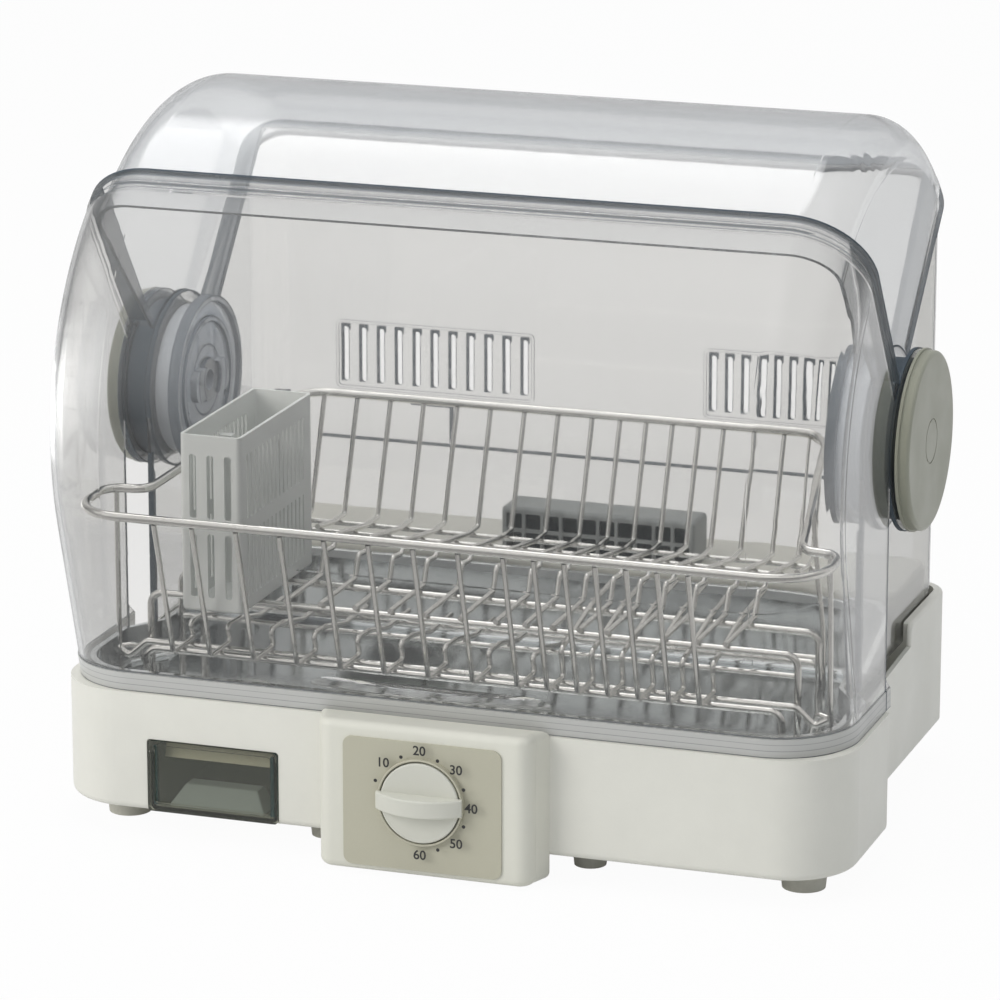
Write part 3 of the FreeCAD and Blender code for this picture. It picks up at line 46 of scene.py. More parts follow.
MM = 0.001
nodes = frame["nodes"]
slot_of = {row["node"]: row["material_slot"] for row in frame["record"]["subparts"]}
body_of = {node: body for body, members in frame["record"]["behaviour"]["bodies"].items() for node in members}
scene = bpy.context.scene
NOISE_MIDDLE = (0.3, 0.7)


# Shader helpers

class Shader:
    """A node tree with short calls for the nodes that the materials here need."""

    def __init__(self, name, owners=None, output="OutputMaterial"):
        self.material = (bpy.data.materials if owners is None else owners).new(name)
        self.material.use_nodes = True
        self.tree = self.material.node_tree
        self.tree.nodes.clear()
        self.output = self.node(output)
        self.place = None

    def node(self, kind, **settings):
        made = self.tree.nodes.new("ShaderNode" + kind)
        for key, value in settings.items():
            setattr(made, key, value)
        return made

    def link(self, source, target):
        self.tree.links.new(source, target)

    def feed(self, node, **inputs):
        for key, value in inputs.items():
            socket = node.inputs[key.replace("_", " ")]
            if isinstance(value, bpy.types.NodeSocket):
                self.link(value, socket)
            else:
                socket.default_value = value
        return node

    def coordinates(self, scale=(1, 1, 1)):
        if self.place is None:
            self.place = self.node("TexCoord")
        mapping = self.node("Mapping")
        mapping.inputs["Scale"].default_value = scale
        self.link(self.place.outputs["Object"], mapping.inputs["Vector"])
        return mapping.outputs["Vector"]

    def noise(self, scale, detail=3, roughness=0.55, stretch=(1, 1, 1)):
        made = self.node("TexNoise")
        self.feed(made, Vector=self.coordinates(stretch), Scale=scale, Detail=detail, Roughness=roughness)
        return made.outputs["Fac"]

    def ramp(self, source, *stops):
        made = self.node("ValToRGB")
        elements = made.color_ramp.elements
        while len(elements) < len(stops):
            elements.new(0.5)
        for element, (spot, colour) in zip(elements, stops):
            element.position = spot
            element.color = (*colour, 1)
        self.link(source, made.inputs["Fac"])
        return made.outputs["Color"]

    def ranged(self, source, window, first=0.0, last=1.0, kind="LINEAR"):
        """Map a value in the window to the range from first to last."""
        made = self.node("MapRange", interpolation_type=kind)
        self.feed(made, Value=source, From_Min=window[0], From_Max=window[1], To_Min=first, To_Max=last)
        return made.outputs["Result"]

    def spread(self, source, low, high):
        """Map the middle of a noise to the range from low to high."""
        return self.ranged(source, NOISE_MIDDLE, low, high)

    def mix(self, share, first, second):
        """Mix two colours."""
        made = self.node("Mix", data_type="RGBA")
        for socket, value in ((made.inputs[0], share), (made.inputs[6], first), (made.inputs[7], second)):
            if isinstance(value, bpy.types.NodeSocket):
                self.link(value, socket)
            elif isinstance(value, (int, float)):
                socket.default_value = value
            else:
                socket.default_value = (*value, 1)
        return made.outputs[2]

    def math(self, operation, first, second=0.0):
        """A calculation with one or two values."""
        made = self.node("Math", operation=operation)
        for socket, value in zip(made.inputs, (first, second)):
            if isinstance(value, bpy.types.NodeSocket):
                self.link(value, socket)
            else:
                socket.default_value = value
        return made.outputs["Value"]

    def vector(self, operation, source, other=(0, 0, 0)):
        """A calculation with a vector and a fixed one."""
        made = self.node("VectorMath", operation=operation)
        self.link(source, made.inputs[0])
        made.inputs[1].default_value = other
        return made.outputs

    def field(self, heading, direction, window):
        """How far a heading points along a direction, smoothly from 0 to 1 inside the window."""
        share = self.vector("DOT_PRODUCT", heading, Vector(direction).normalized())["Value"]
        return self.ranged(share, window, kind="SMOOTHERSTEP")

    def along(self, direction, through=(0, 0, 0)):
        """The distance of the surface point from a plane, in metres."""
        reach = self.vector("DOT_PRODUCT", self.coordinates(), direction)["Value"]
        return self.math("SUBTRACT", reach, Vector(direction).dot(Vector(through)))

    def within(self, value, low, high):
        """1 where a value lies between two bounds, else 0."""
        made = self.node("Math", operation="COMPARE")
        self.link(value, made.inputs[0])
        made.inputs[1].default_value = (low + high) / 2
        made.inputs[2].default_value = (high - low) / 2
        return made.outputs["Value"]

    def marks(self, value, rows):
        """Masks where a value lies in the bounds of each row, as strong as the row says."""
        return [self.math("MULTIPLY", self.within(value, low, high), dark) for low, high, dark in rows]

    def bars(self, first, second, rows):
        """Masks where two values both lie in the bounds that each row gives them."""
        return [self.all_of(self.within(first, *one), self.within(second, *other)) for one, other in rows]

    def all_of(self, first, *others):
        for other in others:
            first = self.math("MULTIPLY", first, other)
        return first

    def any_of(self, first, *others):
        for other in others:
            first = self.math("MAXIMUM", first, other)
        return first

    def facing_along(self, axis):
        """How far the surface looks along an axis, from -1 to 1."""
        parts = self.node("SeparateXYZ")
        self.link(self.node("TexCoord").outputs["Normal"], parts.inputs["Vector"])
        return parts.outputs[axis]

    def from_axis(self, across, height):
        """The distance of the surface point from a line parallel to X, in metres."""
        offset = self.vector("SUBTRACT", self.coordinates((0, 1, 1)), (0, across, height))
        return self.vector("LENGTH", offset["Vector"])["Value"]

    def bump(self, height, depth, strength=1.0, below=None):
        """A bump of real depth in metres."""
        made = self.node("Bump")
        self.feed(made, Height=height, Distance=depth, Strength=strength)
        if below is not None:
            self.link(below, made.inputs["Normal"])
        return made.outputs["Normal"]

    def principled(self, colour, rough, normal=None, **sockets):
        made = self.node("BsdfPrincipled")
        for name, value in (("Base Color", colour), ("Roughness", rough)):
            socket = made.inputs[name]
            if isinstance(value, bpy.types.NodeSocket):
                self.link(value, socket)
            elif name == "Base Color":
                socket.default_value = (*value, 1)
            else:
                socket.default_value = value
        for name, value in sockets.items():
            made.inputs[name.replace("_", " ")].default_value = value
        if normal is not None:
            self.link(normal, made.inputs["Normal"])
        return made.outputs["BSDF"]

    def blend(self, share, first, second):
        """Mix two surfaces."""
        made = self.node("MixShader")
        self.feed(made, Fac=share)
        self.link(first, made.inputs[1])
        self.link(second, made.inputs[2])
        return made.outputs["Shader"]

    def see_through(self, colour):
        """A surface that rays pass straight."""
        made = self.node("BsdfTransparent")
        made.inputs["Color"].default_value = (*colour, 1)
        return made.outputs["BSDF"]

    def finish(self, surface):
        self.link(surface, self.output.inputs["Surface"])
        return self.material


def shade(colour, factor):
    return tuple(min(1, part * factor) for part in colour)


def plastic(name, colour, rough=0.42, grain=0.00004, grain_size=900, dust=0.06, specular=0.4):
    """Moulded plastic: fine spark-eroded grain, slow colour drift, roughness that varies a little at random.
    """
    shader = Shader(name)
    drift = shader.noise(9, 4)
    spots = shader.noise(60, 5, 0.7)
    tone = shader.mix(shader.spread(drift, 0, 1), shade(colour, 1 - dust), shade(colour, 1 + dust * 0.4))
    tone = shader.mix(shader.spread(spots, 0, dust * 2), tone, shade(colour, 0.82))
    gloss = shader.spread(shader.noise(35, 4), rough * 0.85, rough * 1.15)
    fine = shader.noise(grain_size, 2)
    normal = shader.bump(fine, grain)
    return shader.finish(shader.principled(tone, gloss, normal, Specular_IOR_Level=specular))


def steel(name, colour, rough, streak=(1, 1, 1), grain=0.00001):
    """Bare metal with drawn streaks and faint stains."""
    shader = Shader(name)
    streaks = shader.noise(400, 3, 0.6, streak)
    stains = shader.noise(25, 5, 0.65)
    tone = shader.mix(shader.spread(stains, 0, 1), shade(colour, 0.9), colour)
    gloss = shader.spread(streaks, rough * 0.6, rough * 1.5)
    normal = shader.bump(streaks, grain)
    return shader.finish(shader.principled(tone, gloss, normal, Metallic=1.0))


RIM_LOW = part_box("drain_tray")[1].z - 5 * MM
RIM_HIGH = RIM_LOW + 20 * MM
RIM_ROUGHER = 0.2
RIM_DULLER = 0.45
PRESS_WAVES = 0.9 * MM


def tray_sheet():
    """Pressed bright sheet with slow waves; its rolled rim is satin."""
    shader = Shader("tray_steel")
    streaks = shader.noise(300, 3, 0.6, (1, 8, 1))
    rim = shader.within(shader.along((0, 0, 1)), RIM_LOW, RIM_HIGH)
    stains = shader.spread(shader.noise(25, 5, 0.65), 0, 1)
    tone = shader.mix(stains, (0.56, 0.58, 0.585), (0.68, 0.70, 0.70))
    gloss = shader.math("ADD", shader.spread(streaks, 0.03, 0.07), shader.math("MULTIPLY", rim, RIM_ROUGHER))
    normal = shader.bump(shader.noise(12, 1), PRESS_WAVES, 1.0, shader.bump(streaks, 0.00001))
    sheet = shader.principled(tone, gloss, normal)
    shader.feed(sheet.node, Metallic=shader.math("SUBTRACT", 1.0, shader.math("MULTIPLY", rim, RIM_DULLER)))
    return shader.finish(sheet)


CLEAR_IOR = 1.49
STEEP_POWER, SKIM_POWER, SKIM_SHARE = 3.0, 7.0, 0.65
FROST_SHARE, LINE_SHARE = 0.7, 0.85
SIDE_WALL = (0.19, 0.21)
# Painted shade: the colours of the dark lines at cut edges and ribs, and of the dark rim seen at skimming
# angles.
EDGE_SHADE = (0.075, 0.095, 0.115)
RIM_SHADE = (0.11, 0.12, 0.12)
FROST = (0.74, 0.74, 0.72)


def clear(name, tint, edge_shade_tint, rough=0.02, haze=(0.6, 0.62, 0.63), haze_share=0.015,
          lines=None, frost=None, thin=None, side_shade_tint=None):
    """Clear moulded plastic with a thin haze of scuffs; where it is seen edge-on its colour turns dark,
    partly for the long path through the plastic and partly as painted shade for the dark surroundings it
    shows there.

    Rays from lamps pass straight through, so that what is inside is lit. The lines function
    returns how much painted shade each point gets because it lies on a cut edge or a rib, the
    frost function how frosted it is, and the thin function where nothing behind is bent. The
    side shade tint is painted shade for the right side wall.
    """
    shader = Shader(name)
    wave = shader.bump(shader.noise(14, 2), 0.0002)
    scuffs = shader.spread(shader.noise(150, 6, 0.75), rough * 0.5, rough * 2.5)
    facing = shader.node("LayerWeight")
    facing.inputs["Blend"].default_value = 0.5
    # Painted shade: the glass colour darkens where the surface is seen edge-on and a dark body shows at
    # skimming angles, partly for the long path through the plastic and partly for the dark surroundings.
    edge_on_shade = shader.math("POWER", facing.outputs["Facing"], STEEP_POWER)
    skim_shade = shader.math("MULTIPLY", shader.math("POWER", facing.outputs["Facing"], SKIM_POWER), SKIM_SHARE)
    tint_and_side_shade = tint
    # Painted shade: the right side wall takes a darker tint.
    if side_shade_tint:
        tint_and_side_shade = shader.mix(shader.within(shader.along((1, 0, 0)), *SIDE_WALL), tint, side_shade_tint)
    colour = shader.mix(edge_on_shade, tint_and_side_shade, edge_shade_tint)
    glass = shader.principled(colour, scuffs, wave, Transmission_Weight=1.0, IOR=CLEAR_IOR)
    if thin:
        straight = shader.see_through([part ** 0.5 for part in tint])
        glass = shader.blend(thin(shader), glass, straight)
    share = shader.math("ADD", skim_shade, haze_share)
    haze_and_edge_shade = shader.mix(shader.math("DIVIDE", skim_shade, share), haze, RIM_SHADE)
    if frost:
        cloudy = frost(shader)
        haze_and_edge_shade = shader.mix(cloudy, haze_and_edge_shade, FROST)
        share = shader.math("MAXIMUM", share, shader.math("MULTIPLY", cloudy, FROST_SHARE))
    # Painted shade on cut edges, ribs, slots and rings.
    if lines:
        dark = lines(shader)
        haze_and_edge_shade = shader.mix(dark, haze_and_edge_shade, EDGE_SHADE)
        share = shader.math("MAXIMUM", share, shader.math("MULTIPLY", dark, LINE_SHARE))
    body = shader.principled(haze_and_edge_shade, 0.6, None, Specular_IOR_Level=0.1)
    mixed = shader.blend(share, glass, body)
    from_lamp = shader.node("LightPath").outputs["Is Shadow Ray"]
    open_way = shader.see_through([part ** 0.25 for part in tint])
    return shader.finish(shader.blend(from_lamp, mixed, open_way))


# Where the dark and thin places of the covers lie, in metres: their cut edges, bands, hems and
# slots. The dark is painted shade. Rows with three numbers give the bounds and how dark the line is.

PIVOT = (0.0215, 0.222)
CURVE_CENTRE = (0.0199, 0.2194)
FRONT_EDGE, TOP_EDGE, REAR_EDGE = 54.3, 135.5, 129.5
EDGE_REACH = (0.05, 0.3)
UPRIGHT = (0.05, 0.19)
THIN_SHARE = 0.85
FRONT_THIN, TOP_THIN, REAR_THIN = (-0.013, 0.002), (-0.013, 0.002), (-0.002, 0.0125)

FRONT_MARKS = ((-0.0012, 0.0008, 1.0), (-0.0052, -0.0042, 0.7), (-0.0099, -0.0092, 0.8))
FRONT_BACK = (-0.0275, -0.0255)
FRONT_RINGS = (0.0402, 0.044)
HEM_LOW, HEM_TOP = 0.0823, 0.0933
HEM_MARKS = ((HEM_LOW - 0.001, HEM_LOW + 0.0003, 1.0), (0.0862, 0.0866, 0.45), (0.0899, 0.0903, 0.35),
             (HEM_TOP + 0.0002, HEM_TOP + 0.0008, 0.6))
HEM_FROST = 0.9
TOP_MARK = (-0.0009, 0.0006)

WALL_OUTER, WALL_INNER = 0.15, 0.1463
REAR_MARK, REAR_MARK_DARK = (-0.0006, 0.0012), 0.85
REAR_STRUT, STRUT_SIDE = (0.0030, 0.0046), (0.1945, 0.1985)
REAR_FRONT = (-0.0285, -0.0239)
BEAD = ((0.1595, 0.1625), (0.144, WALL_INNER - 0.0002))
HOOK = ((0.162, 0.187), (0.144, WALL_INNER - 0.0004))
SLOT_GROUPS = ((-0.1545, -0.0395, 0.0111), (0.0705, 0.161, 0.0096))
SLOT_START, SLOT_MARGIN = 0.0013, 0.002
SLOT_LEFT = ((0, 0.0019), (0.195, 0.2285))
SLOT_HEAD = ((0, 0.0055), (0.2258, 0.2296))
SLOT_FACING, SLOT_HEIGHTS = (-0.6, 0.6), (0.1905, 0.2325)
SLOT_WALL = (0.1445, WALL_OUTER)

HUB_FOOT = 0.0498
HUB_SIDE = (0.18, 0.24)
RING_HALF = 0.0006
DISC_RINGS = (0.0125, 0.02, 0.033, 0.036, 0.0445, 0.0478)
DISC_DARK = 0.85


def beside_edge(shader, centre, angle):
    """Distance from the plane of a radial edge, positive past it, and whether it is on that side."""
    turn = math.radians(angle)
    outward, past = (0, -math.cos(turn), math.sin(turn)), (0, math.sin(turn), math.cos(turn))
    through = (0, *centre)
    return shader.along(past, through), shader.within(shader.along(outward, through), *EDGE_REACH)


def hub_lines(shader, *radii):
    """Thin rings of painted shade about the pivot axis, on the parts near the sides."""
    reach = shader.from_axis(*PIVOT)
    rings = shader.any_of(*(shader.within(reach, radius - RING_HALF, radius + RING_HALF) for radius in radii))
    return shader.all_of(rings, shader.within(shader.math("ABSOLUTE", shader.along((1, 0, 0))), *HUB_SIDE))


def disc_lines(shader):
    return shader.math("MULTIPLY", hub_lines(shader, *DISC_RINGS), DISC_DARK)


def thin_band(centre, angle, window):
    """The mask of a cover's band, which bends nothing behind it."""
    def mask(shader):
        beside, there = beside_edge(shader, centre, angle)
        return shader.all_of(shader.within(beside, *window), there, THIN_SHARE)
    return mask


def front_lines(shader):
    """The front cover's cut edge and band, its hem, its upright rear edges and its round feet, where painted
    shade darkens it.
    """
    beside, there = beside_edge(shader, CURVE_CENTRE, FRONT_EDGE)
    edges = shader.all_of(shader.any_of(*shader.marks(beside, FRONT_MARKS)), there)
    height = shader.along((0, 0, 1))
    back = shader.all_of(shader.within(shader.along((0, 1, 0)), *FRONT_BACK), shader.within(height, *UPRIGHT))
    return shader.any_of(edges, *shader.marks(height, HEM_MARKS), back,
                         hub_lines(shader, *FRONT_RINGS, HUB_FOOT))


def front_frost(shader):
    return shader.math("MULTIPLY", shader.within(shader.along((0, 0, 1)), HEM_LOW, HEM_TOP), HEM_FROST)


def top_lines(shader):
    """The top cover's cut edge and its round feet, where painted shade darkens it."""
    beside, there = beside_edge(shader, PIVOT, TOP_EDGE)
    return shader.any_of(shader.all_of(shader.within(beside, *TOP_MARK), there), hub_lines(shader, HUB_FOOT))


def slot_lines(shader, across, height, deep):
    """Painted shade on the left sides and heads of the slots in the rear wall."""
    groups = []
    for first, last, pitch in SLOT_GROUPS:
        step = shader.math("FLOORED_MODULO", shader.math("SUBTRACT", across, first - SLOT_START), pitch)
        slots = shader.any_of(*shader.bars(step, height, (SLOT_LEFT, SLOT_HEAD)))
        groups.append(shader.all_of(slots, shader.within(across, first - SLOT_MARGIN, last)))
    return shader.all_of(shader.any_of(*groups), shader.within(deep, *SLOT_WALL))


def rear_lines(shader):
    """The rear cover's front edge and struts, its slots, bead and hook, and its round feet, where painted
    shade darkens them.
    """
    beside, there = beside_edge(shader, PIVOT, REAR_EDGE)
    across, deep, height = (shader.along(axis) for axis in ((1, 0, 0), (0, 1, 0), (0, 0, 1)))
    edge = shader.math("MULTIPLY", shader.within(beside, *REAR_MARK), REAR_MARK_DARK)
    strut = shader.all_of(shader.within(beside, *REAR_STRUT),
                          shader.within(shader.math("ABSOLUTE", across), *STRUT_SIDE))
    frame_bars = shader.all_of(shader.any_of(edge, strut), there)
    bars = shader.bars(height, deep, ((UPRIGHT, REAR_FRONT), BEAD, HOOK))
    slots = shader.all_of(shader.within(shader.facing_along("Y"), *SLOT_FACING),
                          *shader.bars(height, deep, ((SLOT_HEIGHTS, SLOT_WALL),)))
    return shader.any_of(frame_bars, *bars, slots, hub_lines(shader, HUB_FOOT),
                         slot_lines(shader, across, height, deep))


def satin_plate():
    shader = Shader("dial_grey")
    base = (0.50, 0.485, 0.385)
    flakes = shader.noise(2600, 2, 0.7)
    tone = shader.mix(shader.spread(flakes, 0, 1), shade(base, 0.93), shade(base, 1.06))
    return shader.finish(shader.principled(tone, shader.spread(shader.noise(50, 3), 0.32, 0.42),
                                           shader.bump(flakes, 0.00001), Specular_IOR_Level=0.5))


def rubber():
    shader = Shader("foot_rubber")
    dust = shader.noise(120, 6, 0.7)
    tone = shader.mix(shader.spread(dust, 0, 1), (0.55, 0.54, 0.47), (0.66, 0.65, 0.58))
    return shader.finish(shader.principled(tone, 0.7, shader.bump(shader.noise(700, 3), 0.00006)))


def mica_sheet():
    shader = Shader("mica")
    flakes = shader.noise(260, 6, 0.8, (1, 1, 3))
    tone = shader.ramp(flakes, (0.3, (0.34, 0.28, 0.16)), (0.55, (0.55, 0.48, 0.32)),
                       (0.8, (0.7, 0.66, 0.52)))
    gloss = shader.spread(flakes, 0.25, 0.5)
    return shader.finish(shader.principled(tone, gloss, shader.bump(flakes, 0.00005)))


def wound_copper():
    shader = Shader("coil_copper")
    turns = shader.node("TexWave", wave_type="BANDS", bands_direction="Z")
    shader.feed(turns, Vector=shader.coordinates(), Scale=450, Distortion=0.6)
    turns_and_groove_shade = turns.outputs["Fac"]
    # Painted shade: each turn is dark in the groove beside the next one and bright copper on its crest.
    tone = shader.ramp(turns_and_groove_shade, (0.1, (0.18, 0.05, 0.02)), (0.7, (0.62, 0.25, 0.11)))
    return shader.finish(shader.principled(tone, 0.3, shader.bump(turns_and_groove_shade, 0.0003), Metallic=0.8))


CAP_GREY = (0.33, 0.335, 0.27)


def inner_cap_with_painted_light():
    """The far cap: grey, and pale blue on the side that shows through the clear covers; that side is partly
    its own clear look and partly painted light, made pale for light bouncing inside the hub.
    """
    shader = Shader("cap_inner_painted_light")
    inner = shader.within(shader.facing_along("X"), 0.5, 1.1)
    drift = shader.spread(shader.noise(30, 4), 0, 1)
    # Painted light: the pale blue is lighter than the cap's own clear look, for the light that bounces round
    # inside the hub.
    blue = shader.mix(drift, (0.66, 0.71, 0.77), (0.75, 0.80, 0.86))
    tone = shader.mix(inner, CAP_GREY, blue)
    return shader.finish(shader.principled(tone, 0.4, shader.bump(shader.noise(900, 2), 0.00003)))


# Painted shade: the second colour is what the covers turn to where they are seen edge-on.
COVER_TINT, COVER_EDGE_SHADE = (0.845, 0.84, 0.83), (0.38, 0.40, 0.42)
MATERIALS = {
    "ivory_plastic": plastic("ivory_plastic", (0.775, 0.768, 0.705)),
    "panel_plastic": plastic("panel_plastic", (0.75, 0.745, 0.665), rough=0.38),
    "bottom_plastic": plastic("bottom_plastic", (0.60, 0.59, 0.52), rough=0.55),
    "dial_grey": satin_plate(),
    "knob_plastic": plastic("knob_plastic", (0.66, 0.66, 0.59), rough=0.34, grain=0.00002),
    "cap_grey": plastic("cap_grey", CAP_GREY, rough=0.42),
    "cap_inner_painted_light": inner_cap_with_painted_light(),
    "front_cover": clear("front_cover", COVER_TINT, COVER_EDGE_SHADE, lines=front_lines,
                         frost=front_frost, thin=thin_band(CURVE_CENTRE, FRONT_EDGE, FRONT_THIN)),
    "top_cover": clear("top_cover", (0.895, 0.90, 0.905), COVER_EDGE_SHADE, haze=(0.86, 0.90, 0.95),
                       haze_share=0.03, lines=top_lines, thin=thin_band(PIVOT, TOP_EDGE, TOP_THIN)),
    "rear_cover": clear("rear_cover", (0.79, 0.785, 0.773), COVER_EDGE_SHADE, lines=rear_lines,
                        thin=thin_band(PIVOT, REAR_EDGE, REAR_THIN), side_shade_tint=(0.66, 0.65, 0.62)),
    "hub_clear": clear("hub_clear", (0.90, 0.93, 0.96), (0.36, 0.40, 0.45), haze=(0.86, 0.89, 0.93),
                       haze_share=0.3, lines=disc_lines),
    "smoked_clear": clear("smoked_clear", (0.80, 0.81, 0.73), (0.16, 0.17, 0.15), haze=(0.16, 0.17, 0.14),
                          haze_share=0.16),
    "tray_steel": tray_sheet(),
    "wire_steel": steel("wire_steel", (0.80, 0.79, 0.76), 0.12),
    "holder_grey": plastic("holder_grey", (0.82, 0.84, 0.82), rough=0.4),
    "louvre_grey": plastic("louvre_grey", (0.36, 0.38, 0.375), rough=0.45),
    "foot_rubber": rubber(),
    "dark_plastic": plastic("dark_plastic", (0.035, 0.036, 0.038), rough=0.5),
    "washer_nylon": plastic("washer_nylon", (0.72, 0.72, 0.69), rough=0.35),
    "screw_steel": steel("screw_steel", (0.60, 0.60, 0.61), 0.28),
    "motor_steel": steel("motor_steel", (0.42, 0.42, 0.44), 0.4, (1, 40, 1), grain=0.00005),
    "duct_steel": steel("duct_steel", (0.58, 0.59, 0.60), 0.35, (8, 1, 1)),
    "coil_copper": wound_copper(),
    "bearing_bronze": steel("bearing_bronze", (0.52, 0.36, 0.17), 0.35),
    "mica": mica_sheet(),
    "heater_wire": steel("heater_wire", (0.25, 0.22, 0.20), 0.5),
    "lead_insulation": plastic("lead_insulation", (0.36, 0.03, 0.02), rough=0.45),
    "terminal_plastic": plastic("terminal_plastic", (0.76, 0.73, 0.62), rough=0.4),
}

OWN_MATERIAL = {"hub_cap_left": "cap_inner_painted_light", "front_cover": "front_cover", "top_cover": "top_cover",
                "rear_cover": "rear_cover", "hub_disc_left": "hub_clear", "hub_disc_right": "hub_clear",
                "hub_spacers": "hub_clear", "hinge_pin_left": "hub_clear", "hinge_pin_right": "hub_clear"}
for label, thing in nodes.items():
    thing.data.materials.clear()
    thing.data.materials.append(MATERIALS[OWN_MATERIAL.get(label, slot_of[label])])


# Building helpers

def add_piece(name, data, material, body, place=Matrix()):
    made = bpy.data.objects.new(name, data)
    made.matrix_world = place
    scene.collection.objects.link(made)
    data.materials.append(material)
    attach(made, body)


def mesh_piece(name, work, material, body):
    """Turn a bmesh into a flat-shaded piece."""
    bmesh.ops.recalc_face_normals(work, faces=work.faces)
    data = bpy.data.meshes.new(name)
    work.to_mesh(data)
    work.free()
    add_piece(name, data, material, body)


def ink(name, colour):
    shader = Shader(name)
    worn = shader.noise(900, 4, 0.7)
    tone = shader.mix(shader.spread(worn, 0, 1), colour, shade(colour, 1.6))
    return shader.finish(shader.principled(tone, 0.45, shader.bump(worn, 0.000005)))


# Dial numbers and dots

KNOB_HEIGHT = 45.4 * MM
DIAL_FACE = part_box("dial_plate")[0].y
PRINT_DEPTH = 0.06 * MM
NUMBER_RING = 29.2 * MM
NUMBER_SIZE = 7.3 * MM
NUMBER_BOLD = 0.13 * MM
DOT_RING = 27 * MM
DOT_RADIUS = 1.0 * MM
FIRST_ANGLE = 135
STEP_ANGLE = -45
NUMBERS = 6


def on_dial(reach, angle):
    """A point on the dial plate at an angle from the right, counted upward."""
    turn = math.radians(angle)
    return Vector((reach * math.cos(turn), DIAL_FACE - PRINT_DEPTH / 2,
                   KNOB_HEIGHT + reach * math.sin(turn)))


black_ink = ink("dial_ink", (0.025, 0.025, 0.025))
facing_front = Matrix.Rotation(math.radians(90), 4, "X")
for number in range(NUMBERS):
    angle = FIRST_ANGLE + STEP_ANGLE * number
    words = bpy.data.curves.new(f"dial_number_{number + 1}0", "FONT")
    words.body = f"{number + 1}0"
    words.size = NUMBER_SIZE
    words.align_x = "CENTER"
    words.align_y = "CENTER"
    words.extrude = PRINT_DEPTH / 2
    words.offset = NUMBER_BOLD
    add_piece(words.name, words, black_ink, "base",
              Matrix.Translation(on_dial(NUMBER_RING, angle)) @ facing_front)

dots = bmesh.new()
for number in range(NUMBERS):
    spot = on_dial(DOT_RING, FIRST_ANGLE - STEP_ANGLE / 2 + STEP_ANGLE * number)
    place = Matrix.Translation(spot) @ facing_front
    bmesh.ops.create_cone(dots, cap_ends=True, segments=24, radius1=DOT_RADIUS, radius2=DOT_RADIUS,
                          depth=PRINT_DEPTH, matrix=place)
mesh_piece("dial_dots", dots, black_ink, "base")


# Dark folded sheet behind the outlet's openings: painted shade, so that they read as deep

louvre_low, louvre_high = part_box("outlet_louvre")
shade_sheet = bmesh.new()
RIBS = 12
SHEET_SIDE = 4 * MM
SHEET_FOLDS = (9.0 * MM, 6.5 * MM)
for number in range(RIBS + 1):
    width = louvre_high.x - louvre_low.x - 2 * SHEET_SIDE
    across = louvre_low.x + SHEET_SIDE + width * number / RIBS
    depth = louvre_low.y + SHEET_FOLDS[number % 2]
    for height in (louvre_low.z + 1 * MM, louvre_high.z - 4 * MM):
        shade_sheet.verts.new((across, depth, height))
shade_sheet.verts.ensure_lookup_table()
for number in range(RIBS):
    first = 2 * number
    shade_sheet.faces.new([shade_sheet.verts[first + step] for step in (0, 2, 3, 1)])
bmesh.ops.solidify(shade_sheet, geom=shade_sheet.faces[:], thickness=0.6 * MM)
mesh_piece("louvre_shade_sheet", shade_sheet, plastic("louvre_painted_shade", (0.012, 0.035, 0.042), rough=0.3), "base")


# Inside the drawer: the slanted step in front of its floor, the dark teal strips at the sides and
# the catch bar under its upper edge, pale partly as painted highlight

DRAWER_WALL = 3.4 * MM
DRAWER_FLOOR = 3.2 * MM
drawer_low, drawer_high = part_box("water_tray")
drawer_body = body_of["water_tray"]
inner_face = drawer_low.y + DRAWER_WALL


def slab(work, low, high, inset_x, inset_y):
    """A closed block whose top face is smaller than its bottom face."""
    corners = []
    for height, side, front in ((low.z, 0, 0), (high.z, inset_x, inset_y)):
        corners.append([work.verts.new((low.x + side, low.y + front, height)),
                        work.verts.new((high.x - side, low.y + front, height)),
                        work.verts.new((high.x - side, high.y, height)),
                        work.verts.new((low.x + side, high.y, height))])
    bottom, top = corners
    work.faces.new(bottom)
    work.faces.new(top)
    for number in range(4):
        after = (number + 1) % 4
        work.faces.new((bottom[number], bottom[after], top[after], top[number]))


def in_drawer(name, work, material, radius):
    bmesh.ops.bevel(work, geom=work.edges[:], offset=radius, segments=3, affect="EDGES", profile=0.5)
    mesh_piece(name, work, material, drawer_body)


step = bmesh.new()
slab(step, Vector((drawer_low.x + 11 * MM, inner_face + 1 * MM, drawer_low.z + DRAWER_FLOOR)),
     Vector((drawer_high.x - 9 * MM, inner_face + 19 * MM, drawer_low.z + 14 * MM)), 7 * MM, 8 * MM)
in_drawer("drawer_step", step, plastic("drawer_step", (0.42, 0.47, 0.48), rough=0.2), 0.8 * MM)
side_strips = bmesh.new()
for side in (drawer_low.x + 2.6 * MM, drawer_high.x - 5.0 * MM):
    slab(side_strips, Vector((side, inner_face, drawer_low.z + DRAWER_FLOOR)),
         Vector((side + 2.4 * MM, inner_face + 3 * MM, drawer_high.z - 3 * MM)), 0.2 * MM, 0.2 * MM)
in_drawer("drawer_side_strips", side_strips, plastic("side_strip_teal", (0.008, 0.045, 0.05), rough=0.25), 0.3 * MM)
# The catch bar is pale partly as painted highlight under the drawer's upper edge.
catch_and_highlight = bmesh.new()
slab(catch_and_highlight, Vector((drawer_low.x + 6 * MM, inner_face + 8 * MM, drawer_high.z - 12 * MM)),
     Vector((drawer_high.x - 6 * MM, inner_face + 13 * MM, drawer_high.z - 4 * MM)), 0.5 * MM, 2 * MM)
in_drawer("drawer_catch_and_highlight", catch_and_highlight, plastic("catch_pale_highlight", (0.80, 0.75, 0.62), rough=0.3), 0.5 * MM)


